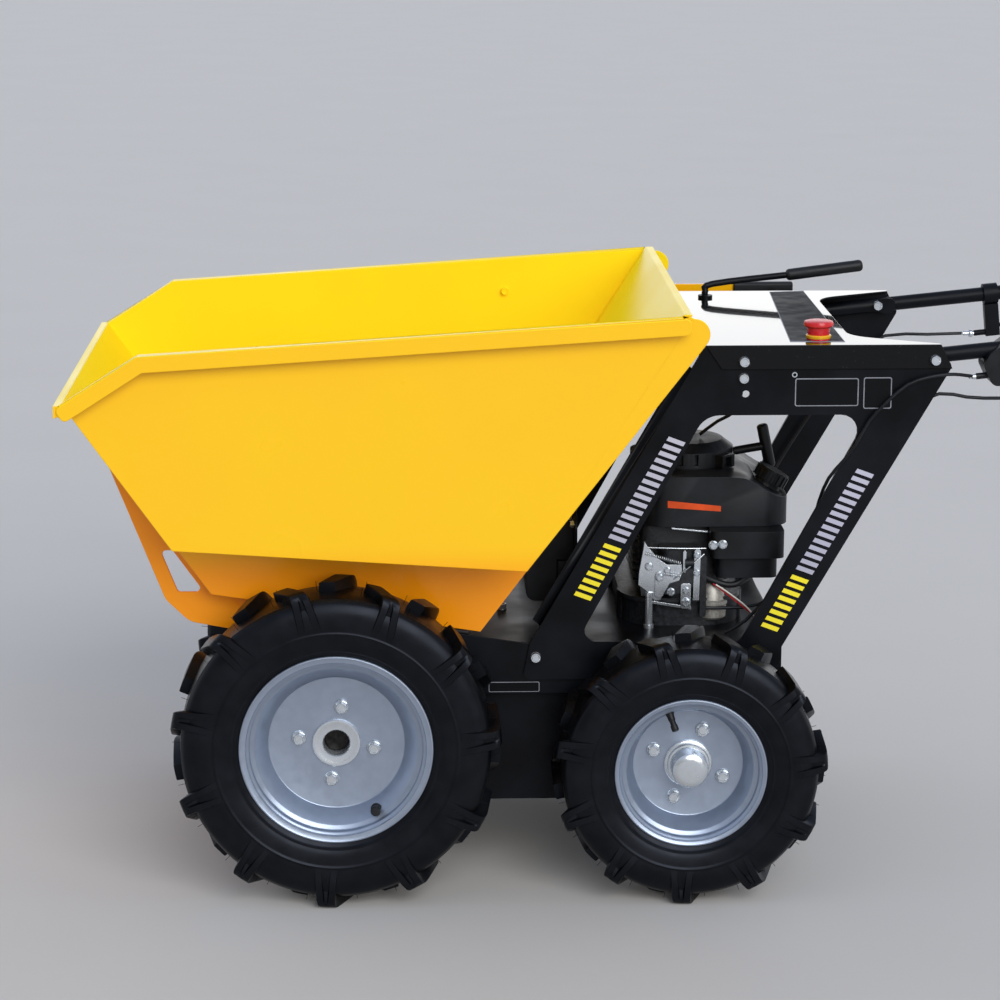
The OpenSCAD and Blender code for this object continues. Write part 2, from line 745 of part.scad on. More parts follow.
module frame_plate_right() color(paint_black) from_axle() mirror_side(-1) frame_plate();
// Deck sheet with two arms that taper to the rear, and a skirt down each side
module deck_cover() color(plastic_black) from_axle() {
    translate([0, 0, deck_z - deck_t]) linear_extrude(deck_t) polygon(rounded([
        [-deck_front_x, -deck_edge_y], [-arm_rear_x, -deck_edge_y], [-arm_rear_x, -chassis_y],
        [-deck_rear_x, -arm_root_y], [-deck_rear_x, arm_root_y],
        [-arm_rear_x, chassis_y], [-arm_rear_x, deck_edge_y], [-deck_front_x, deck_edge_y]
    ], [0, 0, 0, arm_r, arm_r, 0, 0, 0]));
    for (side = [-1, 1]) mirror_side(side) slab(plate_y, deck_edge_y) polygon([
        at(-deck_front_x, deck_h), at(-skirt_front_x, deck_h - skirt_h),
        at(-skirt_rear_x, deck_h - skirt_h), at(-arm_rear_x, deck_h)
    ]);
}

// Handlebars: each tube runs along its own axis from the rear bolt
module along_tube(d) translate([-handle_bolt_x, handle_y, floor_z + handle_bolt_h])
    rotate([0, tube_slope - 90, 0]) translate([0, 0, d]) children();
module pipe(r_out, r_in, l) difference() {
    cylinder(r = r_out, h = l);
    translate([0, 0, -over]) cylinder(r = r_in, h = l + 2 * over);
}
module handlebar() along_tube(-handle_fore) pipe(tube_r, tube_r - tube_t, handle_fore + handle_aft);
module handlebar_left() color(paint_black) from_axle() handlebar();
module handlebar_right() color(paint_black) from_axle() mirror_side(-1) handlebar();
module handle_brackets() color(paint_black) from_axle()
    for (side = [-1, 1]) mirror_side(side) slab(bracket_y - bracket_t, bracket_y) polygon(rounded(face(
        handle_bolt_x - bracket_l / 2, handle_bolt_x + bracket_l / 2,
        handle_bolt_h - bracket_h / 2, handle_bolt_h + bracket_h / 2
    ), bracket_r));
module grip() along_tube(handle_aft - grip_l) {
    pipe(grip_r, tube_r + seat_gap, grip_l);
    translate([0, 0, grip_l]) cylinder(r = grip_r, h = grip_end);
}
module grip_left() color(rubber_black) from_axle() grip();
module grip_right() color(rubber_black) from_axle() mirror_side(-1) grip();
// Side view along the tube, drawn as height over the tube's axis and place along it, and its width
module tube_slab(w) translate([0, w / 2, 0]) rotate([90, 0, 0]) linear_extrude(w) children();
module control_box() color(plastic_black) from_axle() along_tube(box_from_bolt) {
    difference() {
        tube_slab(box_w) polygon(rounded([for (s = box_shares) [s.y * box_tall, s.x * box_l]], box_r));
        translate([0, 0, -over]) cylinder(r = tube_r + seat_gap, h = box_l + 2 * over);
    }
    translate([-ferrule_drop, ferrule_side, -ferrule_l / 2]) cylinder(r = ferrule_r, h = ferrule_l);
}
module hand_lever() along_tube(lever_from_bolt) {
    line = smooth([for (s = lever_shares) [s.y * lever_drop, s.x * lever_l]], lever_steps);
    last = len(line) - 1;
    beside = [for (i = [0 : last])
        let (u = unit(line[min(i + 1, last)] - line[max(i - 1, 0)])) [-u.y, u.x] * lever_t / 2];
    pipe(lever_clamp_r, tube_r + seat_gap, lever_clamp_l);
    tube_slab(lever_w) polygon([
        [-lever_drop, 0], [-lever_drop, lever_clamp_l],
        [-tube_r - lever_t, lever_clamp_l], [-tube_r - lever_t, 0]
    ]);
    tube_slab(lever_w) polygon(concat(
        [for (i = [0 : last]) line[i] + beside[i]], [for (i = [last : -1 : 0]) line[i] - beside[i]]
    ));
    translate([-adjuster_drop, 0, -ferrule_l]) cylinder(r = ferrule_r, h = ferrule_l);
}
module hand_lever_left() color(zinc) from_axle() hand_lever();
module hand_lever_right() color(zinc) from_axle() mirror_side(-1) hand_lever();

// Shift lever and stop button on the deck
module rod(a, b, r) {
    d = b - a;
    translate(a) rotate([0, acos(d.z / norm(d)), atan2(d.y, d.x)]) cylinder(r = r, h = norm(d));
}
module shift_lever() color(plastic_black) from_axle() {
    translate(shift_foot) cylinder(r = shift_collar_r, h = shift_collar_h);
    swept_tube(smooth([
        shift_foot + [0, 0, shift_collar_h / 2], shift_foot + [0, 0, shift_rise / 2], shift_bend, shift_knee
    ], arc_steps / 4), shift_r, arc_steps);
}
module shift_grip() color(rubber_black) from_axle() rod(shift_knee, shift_end, shift_grip_r);
module stop_button() color(stop_red) from_axle() translate([-stop_x, stop_y, deck_z])
    rotate_extrude() polygon(concat(
        [[0, 0], [stop_base_r, 0], [stop_base_r, stop_base_h], [stop_body_r, stop_base_h]],
        [[stop_body_r, stop_body_h], [stop_r, stop_body_h]],
        arc([stop_r - stop_round, stop_h - stop_round], stop_round, 0, 90, corner_steps), [[0, stop_h]]
    ));

// Engine
module plan_block(points, r, h0, h1)
    translate([0, 0, floor_z + h0]) linear_extrude(h1 - h0) polygon(rounded(points, r));
module crankcase() color(alloy) from_axle() {
    sump_h = engine_h + sump_tall;
    rim = sump_flange / 2;
    sump_mid = (sump_front_x + sump_rear_x) / 2;
    boss_x = (sump_rear_x - sump_front_x) / 2 - sump_boss_r;
    plan_block(plan(sump_front_x, sump_rear_x, -sump_y, sump_y), sump_r, engine_h, sump_h);
    plan_block(
        plan(sump_front_x - rim, sump_rear_x + rim, -sump_y - rim, sump_y + rim),
        sump_r, sump_h - sump_flange, sump_h
    );
    for (fore = [-1, 1], side = [-1, 1])
        translate([fore * boss_x - sump_mid, side * (sump_y - sump_r), floor_z + engine_h])
            cylinder(r = sump_boss_r + sump_flange, h = sump_tall);
    plan_block(plan(block_front_x, block_rear_x, -block_y, block_y), block_r, sump_h, shroud_low_h);
    pitch = (shroud_low_h - sump_h) / (fin_count + 1);
    for (k = [1 : fin_count]) plan_block(
        plan(block_front_x - fin_out, block_rear_x + fin_out, block_r - block_y, block_y - block_r),
        block_r, sump_h + k * pitch - fin_t / 2, sump_h + k * pitch + fin_t / 2
    );
}
// Shroud: its side profile cut by its plan, with the filler neck standing on the sloping tail
module on_neck() {
    x = shroud_front_x + cap_share * (shroud_rear_x - shroud_front_x);
    fall = lookup(cap_share, shroud_shares) * (shroud_top_h - shroud_tail_h);
    translate([-x, cap_y, floor_z + shroud_top_h - fall]) rotate([0, -cap_tilt, 0]) children();
}
module cooling_shroud() color(plastic_black) from_axle() {
    top = smooth([for (s = shroud_shares) at(
        -shroud_front_x - s.x * (shroud_rear_x - shroud_front_x),
        shroud_top_h - s.y * (shroud_top_h - shroud_tail_h)
    )], shroud_steps);
    intersection() {
        slab(-shroud_y, shroud_y) polygon(concat(
            [at(-shroud_front_x, shroud_low_h)], top, [at(-shroud_rear_x, shroud_low_h)]
        ));
        plan_block(
            plan(shroud_front_x, shroud_rear_x, -shroud_y, shroud_y), shroud_r, shroud_low_h, shroud_top_h
        );
    }
    on_neck() translate([0, 0, -cap_sink]) cylinder(r = cap_neck_r, h = cap_sink + cap_neck_h);
}
module fuel_cap() color(plastic_black) from_axle() on_neck() translate([0, 0, cap_neck_h]) {
    cylinder(r = cap_r - cap_rib, h = cap_h);
    for (k = [0 : cap_ribs - 1]) rotate([0, 0, 360 * k / cap_ribs])
        translate([0, -cap_rib, 0]) cube([cap_r, 2 * cap_rib, cap_h - cap_rib]);
}
module recoil_cover() color(plastic_black) from_axle() translate([-recoil_x, 0, floor_z + shroud_top_h])
    difference() {
        union() {
            rotate_extrude() polygon([
                [0, 0], [recoil_r, 0], [recoil_r, recoil_h - recoil_crown],
                [recoil_crown_r, recoil_h], [0, recoil_h]
            ]);
            rotate([0, 0, recoil_boss_turn]) translate([recoil_boss_in, -recoil_boss / 2, 0])
                cube([recoil_boss_l, recoil_boss, recoil_boss_h]);
        }
        for (k = [0 : recoil_slots - 1])
            let (turn = 360 * (k + 0.5) / recoil_slots)
                if (abs(turn - recoil_boss_turn) > recoil_boss_room) rotate([0, 0, turn])
                    translate([recoil_r - recoil_slot_d, -recoil_slot_w / 2, recoil_slot_low])
                        cube([recoil_boss_l, recoil_slot_w, recoil_slot_h]);
        rotate([0, 0, recoil_boss_turn])
            translate([recoil_boss_in + recoil_boss_l - recoil_hole_d, -recoil_hole / 2, recoil_hole_low])
                cube([recoil_boss_l, recoil_hole, recoil_hole]);
    }
module recoil_handle() color(plastic_black) from_axle() {
    middle = [-pull_x, pull_y, floor_z + pull_h];
    translate(middle) rotate([0, pull_lean, 0]) rotate_extrude() polygon(concat(
        arc([pull_r / 2, (pull_r - pull_l) / 2], pull_r / 2, -90, 0, corner_steps),
        arc([pull_r / 2, (pull_l - pull_r) / 2], pull_r / 2, 0, 90, corner_steps),
        [[0, pull_l / 2], [0, -pull_l / 2]]
    ));
    rod([-pull_stem_x, pull_y, floor_z + pull_h - pull_r], middle, pull_stem_r);
}
module air_filter() color(plastic_black) from_axle() {
    plan_block(plan(filter_front_x, filter_rear_x, block_y, filter_y), filter_r, filter_mid_h, shroud_low_h);
    plan_block(
        plan(filter_front_x + filter_step, filter_rear_x - filter_step, block_y, filter_y - filter_step),
        filter_r, filter_low_h, filter_mid_h
    );
}
// Carburettor with its bowl, governor plate and throttle arm, each on a post from the block
module carburettor() color(zinc) from_axle() {
    body_h = carb_low_h + carb_bowl_h;
    link_y = sump_y + link_out;
    translate([-carb_x, carb_y, floor_z + engine_h + sump_tall])
        cylinder(r = carb_bowl_r, h = body_h - engine_h - sump_tall);
    plan_block(
        plan(carb_x - carb_body_w / 2, carb_x + carb_body_w / 2, block_y, carb_y + carb_bowl_r),
        block_r, body_h, carb_top_h
    );
    slab(link_y, link_y + link_t) polygon(
        [for (q = link_shares) at(-link_front_x - q.x * link_l, link_low_h + q.y * link_tall)]
    );
    slab(link_y, link_y + link_t) polygon(rounded(
        face(arm_x - arm_w / 2, arm_x + arm_w / 2, arm_low_h, arm_low_h + arm_tall), link_t
    ));
    for (x = [carb_x - carb_body_w / 4, carb_x + carb_body_w / 4])
        cross_bar(at(-x, link_low_h + link_tall / 4), link_post_r, carb_y, link_y + link_t);
    slab(link_y - link_t, link_y)
        polygon(face(carb_x, arm_x + arm_w / 2, link_low_h + link_tall / 4, link_low_h + link_tall / 2));
}
module muffler() color(zinc) from_axle() {
    slab(-muffler_y, -block_y) polygon(rounded(
        face(muffler_front_x, muffler_rear_x, muffler_low_h, muffler_high_h), muffler_r
    ));
    cross_bar(
        at(-muffler_rear_x + muffler_r + muffler_pipe_r, muffler_low_h + muffler_r), muffler_pipe_r,
        -muffler_y - muffler_pipe_l, -muffler_y
    );
}
module switch_box() color(plastic_black) from_axle() {
    rocker = at(-rocker_x, rocker_h);
    difference() {
        slab(switch_in_y, switch_y) polygon(rounded(
            face(switch_front_x, bulk_x, switch_low_h, switch_high_h), [switch_r, switch_r, 0, 0]
        ));
        slab(switch_y - rocker_d, switch_y + over)
            translate(rocker) square([rocker_w, rocker_tall], center = true);
    }
    slab(switch_y - rocker_d, switch_y + rocker_d) translate(rocker)
        square([rocker_w - rocker_d, rocker_tall - rocker_d], center = true);
}
module control_cables() color(plastic_black) from_axle() {
    swept_tube(smooth(throttle_route, cable_steps), cable_r, cable_sides);
    swept_tube(smooth(brake_left_route, cable_steps), cable_r, cable_sides);
    mirror_side(-1) swept_tube(smooth(brake_right_route, cable_steps), cable_r, cable_sides);
    swept_tube(smooth(stop_route, cable_steps), cable_r, cable_sides);
}

// Wheels
module tyre_section(d, w, rim_d, lip) {
    seat = rim_d / 2;
    bead = rim_half(w) - rim_t;
    flank = smooth([for (s = tyre_shares) [seat + s.y * (d / 2 - seat), s.x * w / 2]], tyre_steps);
    near = concat([[seat, bead], [seat + lip, bead]], flank);
    polygon(concat(near, [for (i = [len(near) - 1 : -1 : 0]) [near[i].x, -near[i].y]]));
}
// One lug, swept from its foot to the middle of the tread, with its root inside the carcass
function polar(r, a, z) = [r * cos(a), r * sin(a), z];
module lug(d, w, rim_d) {
    seat = rim_d / 2;
    high = d / 2 - seat;
    last = len(lug_shares) - 1;
    rings = [for (s = lug_shares) let (
        a = s[0] * lug_lead, z = s[1] * w / 2, r = seat + s[2] * high, half = s[3] * lug_w / 2,
        root_z = z * (1 - lug_root_share), root_r = r + (seat + lug_core_share * high - r) * lug_root_share,
        turn = asin(half / r), root_turn = asin(half / root_r)
    ) each [
        polar(root_r, a - root_turn, root_z), polar(root_r, a + root_turn, root_z),
        polar(r, a + turn, z), polar(r, a - turn, z)
    ]];
    walls = [for (i = [0 : last - 1], k = [0 : 3]) let (p = 4 * i + k, q = 4 * i + (k + 1) % 4)
        each [[p, q + 4, q], [p, p + 4, q + 4]]];
    polyhedron(rings, concat(walls, [[0, 1, 2, 3], [for (k = [3 : -1 : 0]) 4 * last + k]]));
}
// Carcass with two staggered rows of lugs, turned so that a lug stands on the ground
module tyre(d, w, rim_d, lip) {
    rest_turn = 90 - lug_lead + asin(lug_shares[len(lug_shares) - 1][3] * lug_w / d);
    rotate_extrude($fn = 96) tyre_section(d, w, rim_d, lip);
    for (k = [0 : lug_count - 1]) rotate([0, 0, rest_turn + 360 * k / lug_count]) {
        lug(d, w, rim_d);
        rotate([0, 0, 180 / lug_count]) mirror([0, 0, 1]) lug(d, w, rim_d);
    }
}
// Outer end of the hub: an open ring, or a step and a rounded cap over the end of the axle
function open_end(out, bore) = [[bore, out + hub_proud], [hub_r, out + hub_proud]];
function capped_end(out, bore) = concat(
    [[bore, out + cap_out - cap_wall], [0, out + cap_out - cap_wall], [0, out + cap_out]],
    arc([cap_end_r - cap_round, out + cap_out - cap_round], cap_round, 90, 0, corner_steps),
    [[cap_end_r, out + cap_step], [(cap_end_r + hub_r) / 2, out + cap_step]],
    [[(cap_end_r + hub_r) / 2, out + hub_proud], [hub_r, out + hub_proud]]
);
module rim(w, rim_d, lip, dish, drop, capped) {
    seat = rim_d / 2;
    half = rim_half(w);
    well = seat - drop;
    out = half - dish;
    back = out - disc_t;
    slope = half - rim_t - seat_w;
    bore = axle_r + run_gap;
    rotate_extrude($fn = 96) polygon(concat(
        [[seat, half], [seat + lip, half], [seat + lip, half - rim_t], [seat, half - rim_t], [seat, slope]],
        [[well + rim_t, out], [well + rim_t, back - well_w], [seat, -slope], [seat, rim_t - half]],
        [[seat + lip, rim_t - half], [seat + lip, -half], [seat - rim_t, -half], [seat - rim_t, -slope]],
        [[well, back - well_w], [well, back], [hub_r, back], [hub_r, hub_in], [bore, hub_in]],
        capped ? capped_end(out, bore) : open_end(out, bore),
        [[hub_r, out], [well, out], [seat - rim_t, slope], [seat - rim_t, half - rim_t]]
    ));
}
module on_wheel(x, side, y, z) from_axle() mirror_side(side)
    translate([x, y, z]) rotate([-90, 0, 0]) children();
module on_front(side) on_wheel(0, side, front_wheel_y, front_axle_z) children();
module on_rear(side) on_wheel(-wheelbase, side, rear_wheel_y, rear_axle_z) children();
module front_tyre(side) color(rubber_black) on_front(side)
    tyre(front_tyre_d, front_tyre_w, front_rim_d, front_lip_h);
module rear_tyre(side) color(rubber_black) on_rear(side)
    tyre(rear_tyre_d, rear_tyre_w, rear_rim_d, rear_lip_h);
module front_rim(side) color(rim_silver) on_front(side)
    rim(front_tyre_w, front_rim_d, front_lip_h, front_dish, front_well_drop, false);
module rear_rim(side) color(rim_silver) on_rear(side)
    rim(rear_tyre_w, rear_rim_d, rear_lip_h, rear_dish, rear_well_drop, true);
module tyre_front_left() front_tyre(1);
module tyre_front_right() front_tyre(-1);
module tyre_rear_left() rear_tyre(1);
module tyre_rear_right() rear_tyre(-1);
module rim_front_left() front_rim(1);
module rim_front_right() front_rim(-1);
module rim_rear_left() rear_rim(1);
module rim_rear_right() rear_rim(-1);

tub_side_left();
tub_side_right();
tub_front();
tub_rear();
tub_floor();
belly_side_left();
belly_side_right();
hinge_plates();
tip_handle();
tip_grip();
tray();
drive_case();
hinge_pin();
front_axle();
rear_axle();
tub_rest();
bulkhead();
frame_plate_left();
frame_plate_right();
deck_cover();
handle_brackets();
handlebar_left();
handlebar_right();
grip_left();
grip_right();
control_box();
hand_lever_left();
hand_lever_right();
shift_lever();
shift_grip();
stop_button();
crankcase();
cooling_shroud();
recoil_cover();
recoil_handle();
fuel_cap();
air_filter();
carburettor();
muffler();
switch_box();
control_cables();
tyre_front_left();
tyre_front_right();
tyre_rear_left();
tyre_rear_right();
rim_front_left();
rim_front_right();
rim_rear_left();
rim_rear_right();
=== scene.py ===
"""Looks of a walk-behind site dumper, laid out as a Blender add-on.

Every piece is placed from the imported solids, which are in metres with x forward, y to the
machine's left and z up from the ground.
"""
import json
import math

import bmesh
import bpy
from bpy.props import FloatProperty, FloatVectorProperty, IntProperty, PointerProperty
from mathutils import Matrix, Vector

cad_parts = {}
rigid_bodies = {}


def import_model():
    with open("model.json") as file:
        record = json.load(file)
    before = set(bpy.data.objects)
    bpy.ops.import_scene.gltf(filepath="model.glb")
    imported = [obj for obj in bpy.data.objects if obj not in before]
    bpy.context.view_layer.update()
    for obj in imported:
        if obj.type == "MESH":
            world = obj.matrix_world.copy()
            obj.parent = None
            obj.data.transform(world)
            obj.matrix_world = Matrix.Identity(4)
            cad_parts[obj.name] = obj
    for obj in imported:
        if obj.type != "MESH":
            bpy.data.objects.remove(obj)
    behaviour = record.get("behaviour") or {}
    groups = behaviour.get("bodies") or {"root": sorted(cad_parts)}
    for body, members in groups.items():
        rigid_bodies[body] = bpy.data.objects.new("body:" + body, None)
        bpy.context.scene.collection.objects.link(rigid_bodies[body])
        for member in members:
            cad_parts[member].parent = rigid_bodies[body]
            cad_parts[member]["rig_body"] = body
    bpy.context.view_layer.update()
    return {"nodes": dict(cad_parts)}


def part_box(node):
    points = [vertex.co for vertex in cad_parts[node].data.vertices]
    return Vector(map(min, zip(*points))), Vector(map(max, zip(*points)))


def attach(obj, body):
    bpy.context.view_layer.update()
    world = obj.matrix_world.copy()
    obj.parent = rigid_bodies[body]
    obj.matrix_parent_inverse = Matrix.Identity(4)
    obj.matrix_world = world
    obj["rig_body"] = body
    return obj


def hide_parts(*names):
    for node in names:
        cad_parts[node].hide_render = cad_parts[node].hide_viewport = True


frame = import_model()

bl_info = {
    "name": "Site Dumper Looks",
    "version": (1, 0, 0),
    "blender": (4, 5, 0),
    "location": "View3D > Sidebar > Dumper",
    "description": "Dresses the packed solids of a walk-behind site dumper",
    "category": "Object",
}

MM = 0.001
WELD = 0.00001
# The thin sheets of the tub are merged wider, so that slivers at their corners close up.
SHEET_WELD = 0.0003
# Thickness of a printed film.
FILM = 0.0004
# Degrees: faces that meet below FLAT are one, and edges above SHARP are rounded.
FLAT = 0.5
SHARP = 32.0
# Radius of the wheel bolts in millimetres.
BOLT_CIRCLE = 53.5
FRONT_X = (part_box("front_axle")[0].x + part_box("front_axle")[1].x) / 2
SIDES = {"left": 1, "right": -1}


def linear(colour):
    """Linear RGBA of an sRGB hex colour."""
    parts = [int(colour[k:k + 2], 16) / 255 for k in (1, 3, 5)]
    return [c / 12.92 if c <= 0.04045 else ((c + 0.055) / 1.055) ** 2.4 for c in parts] + [1.0]


def at(back, left, up):
    """Point given in millimetres behind the front axle, left of the middle and above the ground."""
    return Vector((FRONT_X - back * MM, left * MM, up * MM))


def colour_choice(name, description, colour):
    """Colour property with an sRGB default."""
    return FloatVectorProperty(
        name=name, description=description, subtype="COLOR", size=4, min=0, max=1, default=linear(colour))


def length_choice(name, description, millimetres):
    """Length property with a default in millimetres."""
    return FloatProperty(name=name, description=description, unit="LENGTH", min=0, default=millimetres * MM)


class DumperColours(bpy.types.PropertyGroup):
    """Colours of the finishes."""

    tub_yellow: colour_choice("Tub yellow", "Enamel of the tub on upright faces", "#FFC814")
    # Lemon is painted light: the tub's one yellow enamel drawn lighter where it faces the sky.
    tub_lemon: colour_choice("Tub lemon", "Enamel of the tub on faces open to the sky", "#FFE220")
    # Amber is painted shade: the same yellow enamel drawn darker under the ledge.
    tub_amber: colour_choice("Tub amber", "Enamel of the tub under its ledge", "#FF9C0A")
    frame_black: colour_choice("Frame black", "Powder coat of the frame and tray", "#07080B")
    deck_black: colour_choice("Deck black", "Gloss enamel of the deck", "#0A0B0D")
    plastic_black: colour_choice("Plastic black", "Moulded covers of the engine", "#0D0E10")
    tyre_black: colour_choice("Tyre black", "Moulded rubber of the tyres", "#050506")
    rim_silver: colour_choice("Rim silver", "Silver paint of the rims", "#9CA7B8")
    zinc_grey: colour_choice("Zinc grey", "Bright zinc plate of bolts and levers", "#D5DADF")
    alloy_grey: colour_choice("Alloy grey", "Die cast aluminium of the engine", "#B9B5AC")
    stop_red: colour_choice("Stop red", "Mushroom head of the stop button", "#D81E22")
    stop_yellow: colour_choice("Stop yellow", "Collar of the stop button", "#F2B51B")
    bar_yellow: colour_choice("Bar yellow", "Yellow bars on the legs", "#F6E32A")
    bar_silver: colour_choice("Bar silver", "Silver bars on the legs", "#C9C8D6")
    floor_grey: colour_choice("Floor grey", "Pale floor of the stage", "#CCC8C2")


class DumperSizes(bpy.types.PropertyGroup):
    """Sizes that a user would change."""

    lug_count: IntProperty(
        name="Lugs per row", description="Tread lugs in each of a tyre's two rows", default=11, min=3)
    lug_width: length_choice("Lug width", "Width of a tread lug over its crown", 25)
    lug_leg: length_choice("Lug leg", "Width of each leg of a lug's forked foot", 10)
    edge: length_choice("Sheet edge", "Rounding of sheet and casting edges", 1.2)
    bend: length_choice("Tub bend", "Rounding of the folds of the tub", 2.2)
    bolt: length_choice("Bolt size", "Width across flats of a frame bolt", 13)
    rim_bolt: length_choice("Rim bolt size", "Width across flats of a wheel bolt", 14)
    camera_lens: FloatProperty(
        name="Lens", description="Focal length for a 36 mm sensor", default=108.084, min=1)
    lamp: FloatProperty(
        name="Lamp", description="Strength of the soft sun from the camera's side", default=2.05, min=0)
    sky: FloatProperty(name="Sky", description="Brightness of the sky overhead", default=0.66, min=0)


def colours():
    """Colour choices of the scene."""
    return bpy.context.scene.dumper_colours


def sizes():
    """Size choices of the scene."""
    return bpy.context.scene.dumper_sizes


def add(tree, kind, inputs=None, **settings):
    """Add a node with its settings; an input is a constant or a socket to link from."""
    node = tree.nodes.new(kind)
    for key, value in settings.items():
        setattr(node, key, value)
    for key, value in (inputs or {}).items():
        if isinstance(value, bpy.types.NodeSocket):
            tree.links.new(value, node.inputs[key])
        else:
            node.inputs[key].default_value = value
    return node


def start_finish(name, **constants):
    """New material: its tree, its shader and the Object coordinates."""
    material = bpy.data.materials.new(name)
    material.use_nodes = True
    tree = material.node_tree
    shader = tree.nodes["Principled BSDF"]
    for key, value in constants.items():
        shader.inputs[key.replace("_", " ")].default_value = value
    where = add(tree, "ShaderNodeTexCoord").outputs["Object"]
    return material, tree, shader, where


def shade(colour, factor):
    """Colour made lighter or darker."""
    return [min(1.0, c * factor) for c in colour[:3]] + [1.0]


def mottled(name, low, high, grain, rough, detail=4.0, **constants):
    """Material whose tint and roughness drift with a soft noise of a grain in millimetres."""
    material, tree, shader, where = start_finish(name, **constants)
    noise = add(tree, "ShaderNodeTexNoise", {
        "Vector": where, "Scale": 1 / (grain * MM), "Detail": detail}).outputs[0]
    part = add(tree, "ShaderNodeMapRange", {0: noise, 1: 0.35, 2: 0.68}).outputs[0]
    tint = add(tree, "ShaderNodeMix", {0: part, 6: list(low), 7: list(high)}, data_type="RGBA").outputs[2]
    tree.links.new(tint, shader.inputs["Base Color"])
    level = add(tree, "ShaderNodeMapRange", {0: noise, 1: 0.35, 2: 0.68, 3: rough[0], 4: rough[1]}).outputs[0]
    tree.links.new(level, shader.inputs["Roughness"])
    return material


def grained(material, grain, strength, depth=0.3):
    """Give a material a fine bump; grain and depth are in millimetres."""
    tree = material.node_tree
    where = tree.nodes["Texture Coordinate"].outputs["Object"]
    noise = add(tree, "ShaderNodeTexNoise", {
        "Vector": where, "Scale": 1 / (grain * MM), "Detail": 2.0}).outputs[0]
    bump = add(tree, "ShaderNodeBump", {
        "Strength": strength, "Distance": depth * MM, "Height": noise}).outputs[0]
    tree.links.new(bump, tree.nodes["Principled BSDF"].inputs["Normal"])
    return material


def enamel(name, high, low):
    """Sprayed enamel on steel sheet, glossy with a faint orange peel.

    Faces open to the sky get painted light in lemon; below a height in millimetres the same paint gets
    painted shade in amber.
    """
    material, tree, shader, where = start_finish(name, IOR=1.5)
    place = add(tree, "ShaderNodeSeparateXYZ", {0: where}).outputs
    facing = tree.nodes["Texture Coordinate"].outputs["Normal"]
    facing = add(tree, "ShaderNodeSeparateXYZ", {0: facing}).outputs
    inward = add(tree, "ShaderNodeMath", {0: place["Y"], 1: facing["Y"]}, operation="MULTIPLY").outputs[0]
    inward = add(tree, "ShaderNodeMapRange", {0: inward, 1: -0.1, 2: -0.25}).outputs[0]
    upward = add(tree, "ShaderNodeMapRange", {0: facing["Z"], 1: 0.1, 2: 0.5}).outputs[0]
    # Mask of faces turned up or inward: there the enamel gets painted light in lemon, and less shine.
    painted_light_mask = add(tree, "ShaderNodeMath", {0: inward, 1: upward}, operation="MAXIMUM").outputs[0]
    # Painted shade: below the given heights the enamel turns amber.
    under = add(tree, "ShaderNodeMapRange", {0: place["Z"], 1: high * MM, 2: low * MM},
                interpolation_type="SMOOTHSTEP").outputs[0]
    choice = colours()
    yellow, lemon, amber = list(choice.tub_yellow), list(choice.tub_lemon), list(choice.tub_amber)
    tint = add(tree, "ShaderNodeMix", {0: painted_light_mask, 6: yellow, 7: lemon}, data_type="RGBA").outputs[2]
    tint = add(tree, "ShaderNodeMix", {0: under, 6: tint, 7: amber}, data_type="RGBA").outputs[2]
    cloud = add(tree, "ShaderNodeTexNoise", {
        "Vector": where, "Scale": 1 / (180 * MM), "Detail": 3.0}).outputs[0]
    patch = add(tree, "ShaderNodeMapRange", {0: cloud, 1: 0.35, 2: 0.75, 3: 0.0, 4: 0.1}).outputs[0]
    tint = add(tree, "ShaderNodeMix", {0: patch, 6: tint, 7: amber}, data_type="RGBA").outputs[2]
    tree.links.new(tint, shader.inputs["Base Color"])
    level = add(tree, "ShaderNodeMapRange", {0: painted_light_mask, 3: 0.35, 4: 0.02}).outputs[0]
    ridge = add(tree, "ShaderNodeMapRange", {0: facing["Z"], 1: 0.8, 2: 0.97, 3: 0.0, 4: 0.6}).outputs[0]
    shine = add(tree, "ShaderNodeMath", {0: level, 1: ridge}, operation="MAXIMUM").outputs[0]
    tree.links.new(shine, shader.inputs["Specular IOR Level"])
    rough = add(tree, "ShaderNodeMapRange", {0: cloud, 1: 0.3, 2: 0.7, 3: 0.26, 4: 0.36}).outputs[0]
    tree.links.new(rough, shader.inputs["Roughness"])
    # Real orange peel is about 1 mm; it is drawn at 5 mm so that it shows.
    return grained(material, 5, 0.05, 0.4)


def black_powder_coat():
    """Baked powder coat on steel: satin black with a fine pebble, and grey dust in patches."""
    material = mottled("black_powder_coat", colours().frame_black, linear("#101218"), 70, (0.3, 0.46), 6.0,
                       Specular_IOR_Level=0.13)
    # The pebble of the coat is under 1 mm and is drawn at 3 mm.
    return grained(material, 3, 0.1)


def deck_enamel():
    """Gloss black enamel under clear lacquer: a near mirror on top, satin on the skirts, with dust specks."""
    material, tree, shader, where = start_finish(
        "deck_enamel", Specular_IOR_Level=0.15, Coat_Roughness=0.02, Coat_IOR=2.0)
    facing = tree.nodes["Texture Coordinate"].outputs["Normal"]
    up = add(tree, "ShaderNodeSeparateXYZ", {0: facing}).outputs["Z"]
    top = add(tree, "ShaderNodeMapRange", {0: up, 1: 0.6, 2: 0.9}).outputs[0]
    tree.links.new(top, shader.inputs["Coat Weight"])
    speck = add(tree, "ShaderNodeTexVoronoi", {"Vector": where, "Scale": 1 / (9 * MM)}).outputs["Distance"]
    dot = add(tree, "ShaderNodeMapRange", {0: speck, 1: 0.05, 2: 0.12, 3: 0.3, 4: 0.0}).outputs[0]
    tint = add(tree, "ShaderNodeMix", {0: dot, 6: list(colours().deck_black), 7: linear("#55565A")},
               data_type="RGBA").outputs[2]
    tree.links.new(tint, shader.inputs["Base Color"])
    rough = add(tree, "ShaderNodeMapRange", {0: top, 3: 0.4, 4: 0.08}).outputs[0]
    tree.links.new(rough, shader.inputs["Roughness"])
    return material


